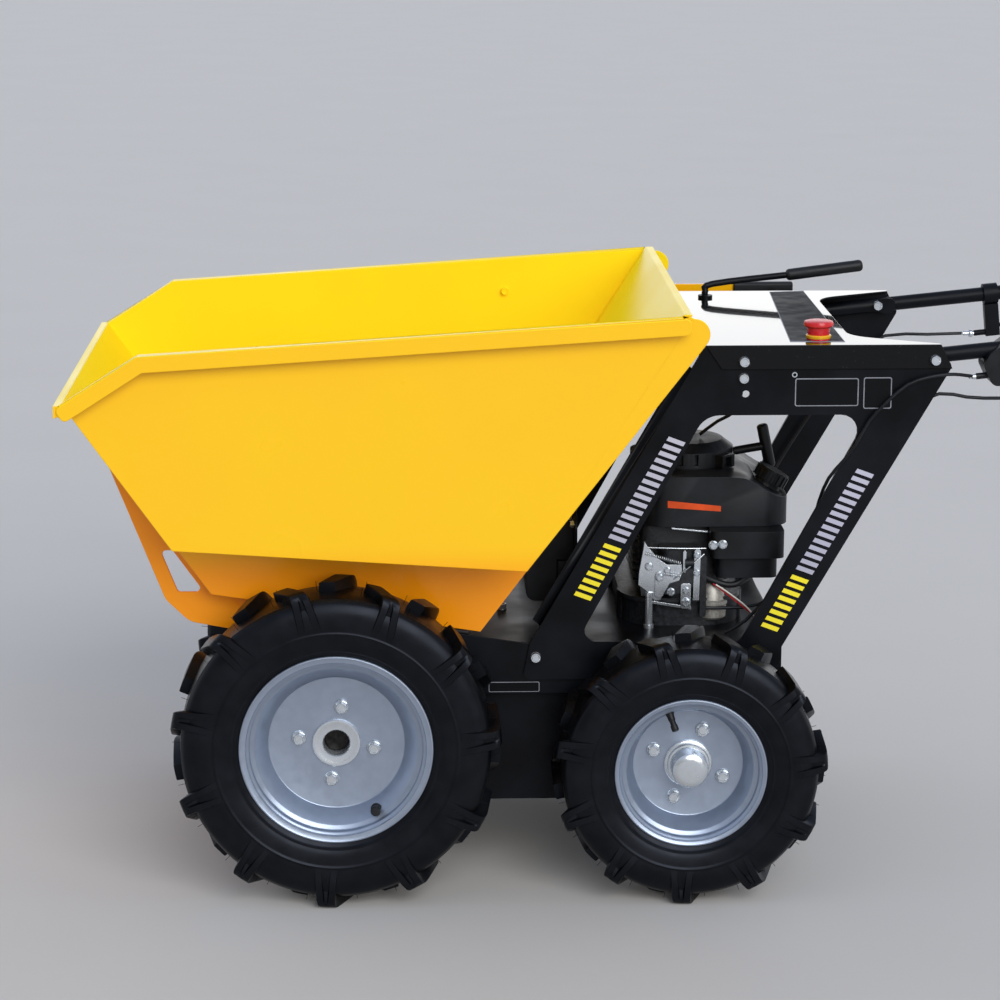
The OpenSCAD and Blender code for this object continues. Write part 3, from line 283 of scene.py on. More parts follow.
def moulded_plastic():
    """Injection moulded black ABS: a fine spark grain that greys the highlights."""
    material = mottled("moulded_plastic", colours().plastic_black, linear("#1A1D22"), 45, (0.34, 0.5), 5.0,
                       Specular_IOR_Level=0.28)
    # Spark grain is about 0.3 mm and is drawn at 2 mm.
    return grained(material, 2, 0.1, 0.2)


def tyre_rubber():
    """Moulded tyre rubber, new: near black, with a soft shine whose blue-grey specular tint is a painted
    reflection of the sky.
    """
    # The blue-grey Specular Tint is painted: it stands for the sky's colour in the tyre's reflections.
    material = mottled("tyre_rubber", colours().tyre_black, linear("#0B0C0E"), 30, (0.3, 0.42), 6.0,
                       Specular_IOR_Level=0.24, Specular_Tint=linear("#D6DFF4"))
    # Mould texture is about 0.5 mm and is drawn at 2.5 mm.
    return grained(material, 2.5, 0.12)


def grip_rubber():
    """Soft vinyl grip: matt black with a faint bloom."""
    return mottled("grip_rubber", linear("#0B0C0E"), linear("#18191C"), 20, (0.42, 0.6),
                   Specular_IOR_Level=0.35)


def silver_paint():
    """Silver wheel paint: fine aluminium flake under a clear coat, a little mottled."""
    silver = colours().rim_silver
    material = mottled("silver_paint", shade(silver, 0.94), silver, 14, (0.3, 0.38), 6.0,
                       Metallic=0.75, Coat_Weight=0.15, Coat_Roughness=0.15)
    # The flake is far below 0.1 mm and is drawn at 1.5 mm.
    return grained(material, 1.5, 0.04, 0.1)


def zinc_plate():
    """Bright zinc plate on steel: a soft mottled metal, faintly blue in patches."""
    zinc = colours().zinc_grey
    return mottled("zinc_plate", zinc, shade(zinc, 0.93), 8, (0.2, 0.28), Metallic=0.85)


def oiled_steel():
    """Turned steel left oily: dark, with a dull shine."""
    return mottled("oiled_steel", linear("#1B1A19"), linear("#2E2C2A"), 6, (0.3, 0.5), Metallic=0.8)


def cast_alloy():
    """Die cast aluminium left bare: pale, matt and grainy."""
    alloy = colours().alloy_grey
    material = mottled("cast_alloy", shade(alloy, 0.7), alloy, 3, (0.42, 0.62), 5.0, Metallic=0.7)
    return grained(material, 3, 0.25)


def engine_enamel():
    """Satin black enamel on rough castings: dark, with a grey bloom on the grain."""
    material = mottled("engine_enamel", linear("#101114"), linear("#23262B"), 4, (0.34, 0.52), 5.0,
                       Metallic=0.1)
    return grained(material, 4, 0.2)


def moulded_gloss(name, colour):
    """Glossy moulded plastic of the stop button, faintly cloudy."""
    return mottled(name, shade(colour, 0.85), shade(colour, 1.05), 12, (0.2, 0.32), 2.0)


def printed_vinyl(name, colour, fade):
    """Printed vinyl strip: satin, with its tint fading along the height of the leg."""
    material, tree, shader, where = start_finish(name, IOR=1.45, Roughness=0.35)
    height = add(tree, "ShaderNodeSeparateXYZ", {0: where}).outputs["Z"]
    part = add(tree, "ShaderNodeMapRange", {0: height, 1: 0.42, 2: 0.74}).outputs[0]
    tint = add(tree, "ShaderNodeMix", {0: part, 6: fade, 7: colour}, data_type="RGBA").outputs[2]
    tree.links.new(tint, shader.inputs["Base Color"])
    return material


def label_film(name, colour):
    """Blank label of satin film: nearly even, with faint waves from the hand that laid it."""
    return mottled(name, shade(colour, 0.85), shade(colour, 1.12), 25, (0.45, 0.6), 2.0,
                   Specular_IOR_Level=0.1)


FINISHES = {
    # The enamels carry painted light and shade: lemon on faces open to the sky, amber below the two heights
    # in millimetres.
    "yellow_enamel": lambda: enamel("yellow_enamel", 530, 450),
    # Amber all over below 1 m: painted shade on the hinge plates under the tub.
    "shaded_amber_enamel": lambda: enamel("shaded_amber_enamel", 1100, 1000),
    # Fades to amber below 1.1 m: painted shade on the tip handle.
    "tip_enamel": lambda: enamel("tip_enamel", 1100, 560),
    "black_powder_coat": black_powder_coat,
    "deck_enamel": deck_enamel,
    "moulded_plastic": moulded_plastic,
    "tyre_rubber": tyre_rubber,
    "grip_rubber": grip_rubber,
    "silver_paint": silver_paint,
    "zinc_plate": zinc_plate,
    "oiled_steel": oiled_steel,
    "cast_alloy": cast_alloy,
    "engine_enamel": engine_enamel,
    "stop_red": lambda: moulded_gloss("stop_red", colours().stop_red),
    "stop_yellow": lambda: moulded_gloss("stop_yellow", colours().stop_yellow),
    "bar_yellow": lambda: printed_vinyl("bar_yellow", list(colours().bar_yellow), list(colours().bar_yellow)),
    "bar_silver": lambda: printed_vinyl("bar_silver", list(colours().bar_silver), linear("#A9A8B8")),
    "label_black": lambda: label_film("label_black", linear("#0C0D10")),
    "label_silver": lambda: label_film("label_silver", linear("#8E9097")),
    "label_orange": lambda: label_film("label_orange", linear("#E2572B")),
    "wire_red": lambda: label_film("wire_red", linear("#B3262B")),
    "wire_white": lambda: label_film("wire_white", linear("#D9D5CC")),
}


def finish(name):
    """Material of a finish, made when it is first asked for."""
    return bpy.data.materials.get(name) or FINISHES[name]()


def flatten(piece):
    """Turn a piece with modifiers into a plain mesh."""
    bpy.context.view_layer.update()
    graph = bpy.context.evaluated_depsgraph_get()
    mesh = bpy.data.meshes.new_from_object(piece.evaluated_get(graph))
    piece.modifiers.clear()
    piece.data = mesh
    return mesh


def seat(piece, body, look, nodes=()):
    """Give a finished piece its material and body, and hide the solids that it stands for."""
    piece.data.materials.clear()
    piece.data.materials.append(finish(look))
    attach(piece, body)
    if nodes:
        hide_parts(*nodes)
    return piece


def show(name, data):
    """New object in the scene for a mesh, a camera or a lamp."""
    piece = bpy.data.objects.new(name, data)
    bpy.context.scene.collection.objects.link(piece)
    return piece


def mesh_of(name, shape, smooth=35.0, outward=True):
    """Mesh of a bmesh, shaded smooth up to an angle in degrees, with its faces turned outward."""
    if outward:
        bmesh.ops.recalc_face_normals(shape, faces=shape.faces[:])
    mesh = bpy.data.meshes.new(name)
    shape.to_mesh(mesh)
    shape.free()
    mesh.shade_smooth()
    mesh.set_sharp_from_angle(angle=math.radians(smooth))
    return mesh


def new_piece(name, shape, body, look, nodes=(), smooth=35.0):
    """Piece of a bmesh, seated on a body."""
    return seat(show(name, mesh_of(name, shape, smooth)), body, look, nodes)


def round_edges(piece, width, segments=2, clamp=True):
    """Bevel the sharp edges of a piece and keep its flats flat."""
    bevel = piece.modifiers.new("edges", "BEVEL")
    bevel.width = width
    bevel.segments = segments
    bevel.limit_method = "ANGLE"
    bevel.angle_limit = math.radians(SHARP)
    bevel.harden_normals = True
    bevel.use_clamp_overlap = clamp
    return flatten(piece)


def dress(node, look, edge=None, segments=2, weld=WELD, clamp=True):
    """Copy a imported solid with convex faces, round its edges by millimetres and give it a finish."""
    source = frame["nodes"][node]
    shape = bmesh.new()
    shape.from_mesh(source.data)
    bmesh.ops.remove_doubles(shape, verts=shape.verts[:], dist=weld)
    bmesh.ops.dissolve_limit(
        shape, angle_limit=math.radians(FLAT), use_dissolve_boundaries=False,
        verts=shape.verts[:], edges=shape.edges[:])
    bmesh.ops.connect_verts_concave(shape, faces=shape.faces[:])
    piece = show("look_" + node, mesh_of("look_" + node, shape, SHARP, outward=False))
    width = sizes().edge if edge is None else edge * MM
    if width > 0:
        round_edges(piece, width, segments, clamp)
    return seat(piece, source["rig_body"], look, (node,))


def curve_through(points, steps):
    """Points of a smooth curve through the given points."""
    points = [Vector(p) for p in points]
    last = len(points) - 1
    out = []
    for i in range(last):
        before, a, b, after = (points[min(max(k, 0), last)] for k in range(i - 1, i + 3))
        for k in range(steps):
            t = k / steps
            out.append(0.5 * (2 * a + (b - before) * t + (2 * before - 5 * a + 4 * b - after) * t * t
                              + (3 * a - before - 3 * b + after) * t ** 3))
    return out + [points[-1]]


def round_angles(steps):
    """Angles of even steps round a circle."""
    return [2 * math.pi * k / steps for k in range(steps)]


def revolve(profile, steps, closed=False):
    """Bmesh turned about the y axis from (radius, axial) points in millimetres; radius 0 closes to a pole."""
    shape = bmesh.new()
    rings = []
    for radius, axial in profile:
        if radius:
            rings.append([
                shape.verts.new((radius * MM * math.cos(a), axial * MM, -radius * MM * math.sin(a)))
                for a in round_angles(steps)])
        else:
            rings.append([shape.verts.new((0, axial * MM, 0))] * steps)
    pairs = list(zip(rings, rings[1:])) + ([(rings[-1], rings[0])] if closed else [])
    for one, two in pairs:
        for k in range(steps):
            loop = [one[k], one[(k + 1) % steps], two[(k + 1) % steps], two[k]]
            corners = [v for i, v in enumerate(loop) if v not in loop[:i]]
            if len(corners) > 2:
                shape.faces.new(corners)
    return shape


def skin(shape, rings):
    """Add the faces between like rings to a bmesh, and close both ends."""
    for one, two in zip(rings, rings[1:]):
        for k in range(len(one)):
            j = (k + 1) % len(one)
            shape.faces.new([one[k], one[j], two[j], two[k]])
    shape.faces.new(rings[0][::-1])
    shape.faces.new(rings[-1])
    return shape


def sweep(shape, path, radius, sides):
    """Add a round rod along a path to a bmesh, with closed ends."""
    path = [Vector(p) for p in path]
    up = Vector((0, 0, 1)) if abs((path[1] - path[0]).normalized().z) < 0.9 else Vector((1, 0, 0))
    rings = []
    for i, point in enumerate(path):
        way = (path[min(i + 1, len(path) - 1)] - path[max(i - 1, 0)]).normalized()
        side = way.cross(up).normalized()
        up = side.cross(way).normalized()
        rings.append([
            shape.verts.new(point + radius * (math.cos(a) * side + math.sin(a) * up))
            for a in round_angles(sides)])
    return skin(shape, rings)


def prism(outline, low, high, axis="y"):
    """Flat plate from an outline in the plane across the y or z axis, between two places on that axis."""
    def point(p, place):
        return (p[0], place, p[1]) if axis == "y" else (p[0], p[1], place)
    shape = bmesh.new()
    near = [shape.verts.new(point(p, high)) for p in outline]
    far = [shape.verts.new(point(p, low)) for p in outline]
    return skin(shape, [far, near])


def tree_with(name, sockets):
    """New Geometry Nodes tree with named inputs; gives the tree and the input sockets by name."""
    tree = bpy.data.node_groups.new(name, "GeometryNodeTree")
    tree.interface.new_socket("Geometry", in_out="INPUT", socket_type="NodeSocketGeometry")
    for label, kind in sockets + [("Material", "Material")]:
        tree.interface.new_socket(label, in_out="INPUT", socket_type="NodeSocket" + kind)
    tree.interface.new_socket("Geometry", in_out="OUTPUT", socket_type="NodeSocketGeometry")
    return tree, add(tree, "NodeGroupInput").outputs


def close_tree(tree, copies, material):
    """End a tree: the copies are made real and take the material."""
    real = add(tree, "GeometryNodeRealizeInstances", {0: copies})
    painted = add(tree, "GeometryNodeSetMaterial", {0: real.outputs[0], 2: material})
    add(tree, "NodeGroupOutput", {0: painted.outputs[0]})
    return tree


def lug_ring():
    """Tree of two staggered rows of lugs about the y axis, joined to the carcass that it is given."""
    tree, given = tree_with("lug_ring", [
        ("Outer Lug", "Object"), ("Inner Lug", "Object"), ("Count", "Int"), ("Turn", "Float")])
    pitch = add(tree, "ShaderNodeMath", {0: 2 * math.pi, 1: given["Count"]}, operation="DIVIDE").outputs[0]
    index = add(tree, "GeometryNodeInputIndex").outputs[0]
    step = add(tree, "ShaderNodeMath", {0: index, 1: pitch}, operation="MULTIPLY").outputs[0]
    joined = add(tree, "GeometryNodeJoinGeometry", {0: given["Geometry"]})
    for label, share in (("Outer Lug", 0.0), ("Inner Lug", 0.5)):
        start = add(tree, "ShaderNodeMath", {0: pitch, 1: share, 2: given["Turn"]}, operation="MULTIPLY_ADD")
        angle = add(tree, "ShaderNodeMath", {0: step, 1: start.outputs[0]}, operation="ADD")
        turn = add(tree, "FunctionNodeAxisAngleToRotation", {0: (0, 1, 0), 1: angle.outputs[0]})
        dots = add(tree, "GeometryNodePoints", {0: given["Count"]})
        lug = add(tree, "GeometryNodeObjectInfo", {0: given[label]})
        row = add(tree, "GeometryNodeInstanceOnPoints", {
            "Points": dots.outputs[0], "Instance": lug.outputs["Geometry"], "Rotation": turn.outputs[0]})
        tree.links.new(row.outputs[0], joined.inputs[0])
    return close_tree(tree, joined.outputs[0], given["Material"])


def bolt_set():
    """Tree of a bolt on every point, turned to the point's facing and scaled by its size."""
    tree, given = tree_with("bolt_set", [("Bolt", "Object")])
    facing = add(tree, "GeometryNodeInputNamedAttribute", {0: "facing"}, data_type="FLOAT_VECTOR")
    size = add(tree, "GeometryNodeInputNamedAttribute", {0: "size"}, data_type="FLOAT")
    turn = add(tree, "FunctionNodeAlignRotationToVector", {2: facing.outputs[0]}, axis="Z")
    bolt = add(tree, "GeometryNodeObjectInfo", {0: given["Bolt"]})
    copies = add(tree, "GeometryNodeInstanceOnPoints", {
        "Points": given["Geometry"], "Instance": bolt.outputs["Geometry"], "Rotation": turn.outputs[0],
        "Scale": size.outputs[0]})
    return close_tree(tree, copies.outputs[0], given["Material"])


def bar_row():
    """Tree of a bar repeated along a line from a start, one step apart."""
    tree, given = tree_with("bar_row", [
        ("Bar", "Object"), ("Count", "Int"), ("Start", "Vector"), ("Step", "Vector")])
    line = add(tree, "GeometryNodeMeshLine", {
        "Count": given["Count"], "Start Location": given["Start"], "Offset": given["Step"]}, mode="OFFSET")
    bar = add(tree, "GeometryNodeObjectInfo", {0: given["Bar"]})
    row = add(tree, "GeometryNodeInstanceOnPoints", {
        "Points": line.outputs[0], "Instance": bar.outputs["Geometry"]})
    return close_tree(tree, row.outputs[0], given["Material"])


def grow(piece, make_tree, values):
    """Run a Geometry Nodes tree on a piece with the given inputs and keep the result as its mesh."""
    tree = bpy.data.node_groups.get(make_tree.__name__) or make_tree()
    modifier = piece.modifiers.new("grow", "NODES")
    modifier.node_group = tree
    for item in tree.interface.items_tree:
        if item.item_type == "SOCKET" and item.in_out == "INPUT" and item.name in values:
            modifier[item.identifier] = values[item.name]
    return flatten(piece)


def pattern(name, mesh):
    """Object kept out of the render that a tree copies."""
    piece = show(name, mesh)
    piece.hide_render = True
    piece.hide_viewport = True
    return piece


def hex_bolt(flange):
    """Flange bolt of unit width across flats, standing on z; the flange's width is given."""
    flat, washer, head = 0.5, 0.13, 0.62

    def hexagon(a):
        return flat / math.cos((a + math.pi / 6) % (math.pi / 3) - math.pi / 6)

    # From the sunk foot over the flange, its groove and the hexagon to the chamfer and the dished top.
    levels = [
        (-0.05, lambda a: flange / 2), (washer * 0.5, lambda a: flange / 2),
        (washer, lambda a: flange / 2 * 0.93), (washer * 0.4, lambda a: hexagon(a) * 1.05),
        (washer, hexagon), (head * 0.86, hexagon), (head, lambda a: flat),
        (head, lambda a: flat * 0.82), (head * 0.86, lambda a: flat * 0.7)]
    shape = bmesh.new()
    rings = []
    for height, radius in levels:
        rings.append([
            shape.verts.new((radius(a) * math.cos(a), radius(a) * math.sin(a), height))
            for a in round_angles(36)])
    return mesh_of("hex_bolt", skin(shape, rings), 28)


def bolts(name, places, body, look="zinc_plate", flange=1.55):
    """Set of bolts on one body; a place is a point, the way it faces and its size in metres."""
    mesh = bpy.data.meshes.new(name)
    mesh.from_pydata([tuple(p[0]) for p in places], [], [])
    mesh.attributes.new("facing", "FLOAT_VECTOR", "POINT")
    mesh.attributes.new("size", "FLOAT", "POINT")
    for k, (_, way, width) in enumerate(places):
        mesh.attributes["facing"].data[k].vector = way
        mesh.attributes["size"].data[k].value = width
    piece = show(name, mesh)
    label = "bolt_pattern_" + str(round(flange * 100))
    master = bpy.data.objects.get(label) or pattern(label, hex_bolt(flange))
    grow(piece, bolt_set, {"Bolt": master, "Material": finish(look)})
    return seat(piece, body, look)


def row_of(name, bar, count, start, step, look):
    """Row of like bars on the chassis."""
    piece = show(name, bpy.data.meshes.new(name))
    grow(piece, bar_row, {"Bar": bar, "Count": count, "Start": start, "Step": step, "Material": finish(look)})
    return seat(piece, "chassis", look)


def plate(name, outline, low, high, look, body="chassis", edge=0.8, axis="y"):
    """Flat plate with edges rounded by millimetres; the outline is in metres in the plane across the axis."""
    piece = show(name, mesh_of(name, prism(outline, low, high, axis)))
    if edge:
        round_edges(piece, edge * MM)
    return seat(piece, body, look)


def standing(shape, foot, way):
    """Move a turned bmesh from the y axis to a foot, standing along a direction."""
    turn = Vector((0, 1, 0)).rotation_difference(Vector(way)).to_matrix().to_4x4()
    shape.transform(Matrix.Translation(foot) @ turn)
    return shape


def turned_along(name, foot, way, profile, look, nodes=()):
    """Turned piece on the chassis; the profile is (radius, height) in millimetres."""
    return new_piece(name, standing(revolve(profile, 40), foot, way), "chassis", look, nodes)


def rod(name, points, radius, look):
    """Smooth round rod on the chassis through points given as for at, with a radius in millimetres."""
    path = curve_through([at(*p) for p in points], 6)
    return new_piece(name, sweep(bmesh.new(), path, radius * MM, 12), "chassis", look, smooth=50)


def spring(name, start, end, radius, turns):
    """Coil spring of thin zinc wire between two points given as for at."""
    start, end = at(*start), at(*end)
    way = (end - start).normalized()
    side = way.cross(Vector((0, 1, 0))).normalized()
    up = side.cross(way)
    steps, wire = 10, 0.5
    path = []
    for k in range(turns * steps + 1):
        a = 2 * math.pi * k / steps
        around = radius * MM * (math.cos(a) * side + math.sin(a) * up)
        path.append(start.lerp(end, k / (turns * steps)) + around)
    return new_piece(name, sweep(bmesh.new(), path, wire * MM, 6), "chassis", "zinc_plate", smooth=60)


def side_view(*points):
    """Outline in x and z from points in millimetres behind the front axle and above the ground."""
    return [(at(b, 0, u).x, at(b, 0, u).z) for b, u in points]


def rounded_panel(back, rear, low, high, corner):
    """Side view outline of a panel with rounded corners, in millimetres."""
    points = []
    for cx, cz, start in ((rear - corner, high - corner, 0), (back + corner, high - corner, 90),
                          (back + corner, low + corner, 180), (rear - corner, low + corner, 270)):
        for k in range(5):
            a = math.radians(start + 22.5 * k)
            points.append((cx + corner * math.cos(a), cz + corner * math.sin(a)))
    return side_view(*points)


def aimed(way):
    """Turn of a camera or lamp that looks along a direction."""
    return Vector(way).to_track_quat("-Z", "Y").to_matrix().to_4x4()


class DUMPER_OT_stage(bpy.types.Operator):
    """Make the camera, the floor, the soft sun and the pale world"""

    bl_idname = "dumper.stage"
    bl_label = "Stage"

    def execute(self, context):
        context.scene.view_settings.view_transform = "Standard"
        self.camera(context.scene)
        self.sky(context.scene)
        lamp = bpy.data.lights.new("soft_sun", "SUN")
        lamp.angle = math.radians(45)
        lamp.energy = sizes().lamp
        show("soft_sun", lamp).matrix_world = aimed((0.3, -0.83, -0.47))
        self.floor()
        return {"FINISHED"}

    def camera(self, scene):
        """Camera at the viewing angle, to the machine's left and a little above it"""
        lens = bpy.data.cameras.new("camera")
        lens.sensor_width = 36.0
        lens.lens = sizes().camera_lens
        lens.clip_end = 200.0
        place = Matrix.Translation((0.2937, 4.39028, 1.51758))
        roll = Matrix.Rotation(0.0008, 4, "Z")
        scene.camera = show("camera", lens)
        scene.camera.matrix_world = place @ aimed((-0.0317, -0.9743, -0.2229)) @ roll

    def sky(self, scene):
        """World that is cool and even overhead, brightest low behind the machine and dim behind the camera"""
        scene.world = bpy.data.worlds.new("studio")
        scene.world.use_nodes = True
        tree = scene.world.node_tree
        tree.nodes.clear()
        way = add(tree, "ShaderNodeTexCoord").outputs["Generated"]
        way = add(tree, "ShaderNodeSeparateXYZ", {0: way}).outputs
        rim = add(tree, "ShaderNodeMapRange", {
            0: way["Y"], 1: -1.0, 2: 0.6, 3: 2.4 * sizes().sky, 4: 0.5 * sizes().sky}).outputs[0]
        high = add(tree, "ShaderNodeMapRange", {0: way["Z"], 1: 0.15, 2: 0.6}).outputs[0]
        level = add(tree, "ShaderNodeMix", {0: high, 2: rim, 3: sizes().sky}).outputs[0]
        tint = add(tree, "ShaderNodeMix", {
            0: high, 6: linear("#FFFFFF"), 7: linear("#D6E4FF")}, data_type="RGBA").outputs[2]
        glow = add(tree, "ShaderNodeBackground", {0: tint, 1: level})
        add(tree, "ShaderNodeOutputWorld", {0: glow.outputs[0]})

    def floor(self):
        """Pale concrete floor, faintly clouded"""
        shape = bmesh.new()
        bmesh.ops.create_grid(shape, x_segments=2, y_segments=2, size=60.0)
        floor = show("floor", mesh_of("floor", shape))
        material, tree, shader, where = start_finish("pale_floor", IOR=1.4, Roughness=0.75)
        cloud = add(tree, "ShaderNodeTexNoise", {"Vector": where, "Scale": 1 / (400 * MM), "Detail": 6.0})
        tint = add(tree, "ShaderNodeMix", {
            0: cloud.outputs[0], 6: shade(colours().floor_grey, 0.94), 7: list(colours().floor_grey)},
            data_type="RGBA")
        tree.links.new(tint.outputs[2], shader.inputs["Base Color"])
        floor.data.materials.append(material)


class DUMPER_OT_tub(bpy.types.Operator):
    """Dress the folded sheets of the tub, its hinge plates and its tipping bar"""

    bl_idname = "dumper.tub"
    bl_label = "Tub"

    def execute(self, context):
        for node in ("tub_front", "tub_rear", "tub_floor", "belly_side_left", "belly_side_right"):
            dress(node, "yellow_enamel", sizes().bend / MM, 3)
        for side in SIDES:
            dress("tub_side_" + side, "yellow_enamel", segments=3, weld=SHEET_WELD, clamp=False)
        # The hinge plates are painted shade, amber all over.
        dress("hinge_plates", "shaded_amber_enamel")
        # The tip handle darkens to amber towards its foot, as painted shade.
        dress("tip_handle", "tip_enamel", 0.6)
        dress("tip_grip", "grip_rubber", 2, 3)
        lip_end = side_view((-379, 727), (-366, 721), (-364, 714), (-371, 711), (-379, 712.5))
        inner, outer = 338, 347.4
        for side, sign in SIDES.items():
            low, high = sorted((sign * inner * MM, sign * outer * MM))
            plate("lip_end_" + side, lip_end, low, high, "yellow_enamel", "tub")
        return {"FINISHED"}


class DUMPER_OT_chassis(bpy.types.Operator):
    """Dress the tray, drive case, axles, legs, deck and rests"""

    bl_idname = "dumper.chassis"
    bl_label = "Chassis"

    def execute(self, context):
        for node in ("tray", "drive_case", "bulkhead", "frame_plate_left", "frame_plate_right",
                     "handle_brackets"):
            dress(node, "black_powder_coat")
        dress("deck_cover", "deck_enamel", 1.4, 3)
        dress("hinge_pin", "zinc_plate", 1)
        for node in ("front_axle", "rear_axle"):
            dress(node, "oiled_steel", 1)
        dress("tub_rest", "grip_rubber", 2)
        return {"FINISHED"}


# Turned pieces of the chassis: radius and height in millimetres from the foot.
CABLE_ADJUSTER = [
    (0, 0), (1.8, 0), (2.6, 2), (2.6, 4), (3.4, 4), (3.4, 12), (5.6, 12.4), (6, 13), (6, 17), (5.6, 17.6),
    (3.6, 18), (3.6, 20), (0, 20)]
CABLE_FERRULE = [(0, 0), (2, 0), (3, 1), (3, 5), (3.6, 5.6), (3.6, 10), (0, 10)]
STOP_COLLAR = [(0, 3), (17.6, 3), (18, 3.6), (18, 6.6), (17, 7.8), (0, 7.8)]
STOP_BASE = [(0, 0), (16.4, 0), (16.8, 0.5), (16.8, 3), (0, 3.2)]
STOP_HEAD = [
    (0, 7.6), (15.2, 7.6), (15.6, 8.4), (16.2, 17.6), (19.8, 19.6), (21, 21), (21, 24.4), (20, 26.6),
    (17, 27.6), (0, 28)]
PUMP_CASTING = [
    (0, 0), (18, 0), (21, 3), (21.5, 20), (23, 22), (23, 27), (20, 29), (17, 46), (12, 53), (8, 57), (0, 57)]
GOVERNOR_POST = [(0, 0), (7.5, 0), (7.5, 5), (5.6, 5.6), (5.6, 47), (6.8, 48), (6.8, 54), (0, 54)]


class DUMPER_OT_controls(bpy.types.Operator):
    """Dress the handlebars, grips, levers, control box, stop button and cables"""

    bl_idname = "dumper.controls"
    bl_label = "Controls"

    def execute(self, context):
        back, up = (-1, 0, 0), (0, 0, 1)
        for side, sign in SIDES.items():
            dress("handlebar_" + side, "black_powder_coat", 0.6)
            dress("grip_" + side, "grip_rubber", 2.5, 3)
            dress("hand_lever_" + side, "black_powder_coat", 1.2)
            foot = at(971, sign * 226.8, 724.4)
            turned_along("cable_adjuster_" + side, foot, back, CABLE_ADJUSTER, "zinc_plate")
        dress("control_box", "moulded_plastic", 3, 3)
        dress("shift_lever", "black_powder_coat", 0.6)
        dress("shift_grip", "grip_rubber", 6, 4)
        turned_along("cable_ferrule", at(896.5, 238, 742), back, CABLE_FERRULE, "zinc_plate")
        low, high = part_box("stop_button")
        foot = Vector(((low.x + high.x) / 2, (low.y + high.y) / 2, low.z))
        turned_along("stop_collar", foot, up, STOP_COLLAR, "stop_yellow")
        turned_along("stop_base", foot, up, STOP_BASE, "stop_red")
        turned_along("look_stop_button", foot, up, STOP_HEAD, "stop_red", ("stop_button",))
        dress("control_cables", "moulded_plastic", 0)
        return {"FINISHED"}


# Plates of the governor: outline, then inner and outer face off the carburettor and edge, in millimetres.
GOVERNOR_PLATES = {
    "governor_plate": (side_view(
        (446.5, 487), (452, 478), (467, 461), (480, 452), (501, 452), (502, 440), (498, 428), (484, 424),
        (470, 399), (462, 398), (453, 411), (438, 422), (439, 441), (444, 470)), 0, 1.8, 0.5),
    "governor_lever": (side_view(
        (518, 398), (527, 398), (529, 472), (526, 476), (522, 476), (519.5, 472)), 0, 1.8, 0.5),
    "governor_arm": (side_view((503, 440), (507, 440), (508, 471), (505.5, 474), (503, 471)), 0, 1.6, 0.5),
    "governor_tab": (rounded_panel(462, 475, 403, 442, 6.2), 1.8, 4.5, 0.8),
    "governor_clamp": (rounded_panel(500, 515, 386, 424, 3), 0, 3, 0.8),
    "governor_strip": (side_view((457, 398), (516, 388), (516, 384), (457, 394)), -1, 1, 0.4),
}
# Bolts of the governor: behind the front axle, height, how far off the carburettor, and size, in millimetres.
GOVERNOR_BOLTS = [
    (453, 450, 1.8, 8), (486, 411, 0, 8), (507.5, 396, 3, 9), (468.5, 434, 4.5, 8), (507.5, 414, 3, 7),
    (523, 440, 1.8, 7), (523, 466, 1.8, 6), (480, 444, 1.8, 7)]
# Bolts of the air filter beside it, with their place left of the middle.
FILTER_BOLTS = [(547, 480, 158.2, 9), (561, 481, 158.2, 9)]
# Rods, hose and wires of the engine: radius in millimetres, finish and points.
ENGINE_RODS = {
    "recoil_stem": (6.4, "moulded_plastic", [(592, 20, 591), (612, 20, 594.6), (633, 20, 598)]),
    "fuel_hose": (4.8, "grip_rubber", [
        (532, 146, 432), (545, 150, 426), (567, 152, 419), (584, 150, 420), (600, 140, 428)]),
    "wire_red": (1.2, "wire_red", [
        (548, 154, 421), (566, 158, 408), (590, 164, 390), (606, 168, 376), (616, 170, 357)]),
    "wire_white": (1.2, "wire_white", [
        (552, 156, 420), (570, 161, 409), (594, 167, 391), (608, 172, 375), (618, 175, 357)]),
}


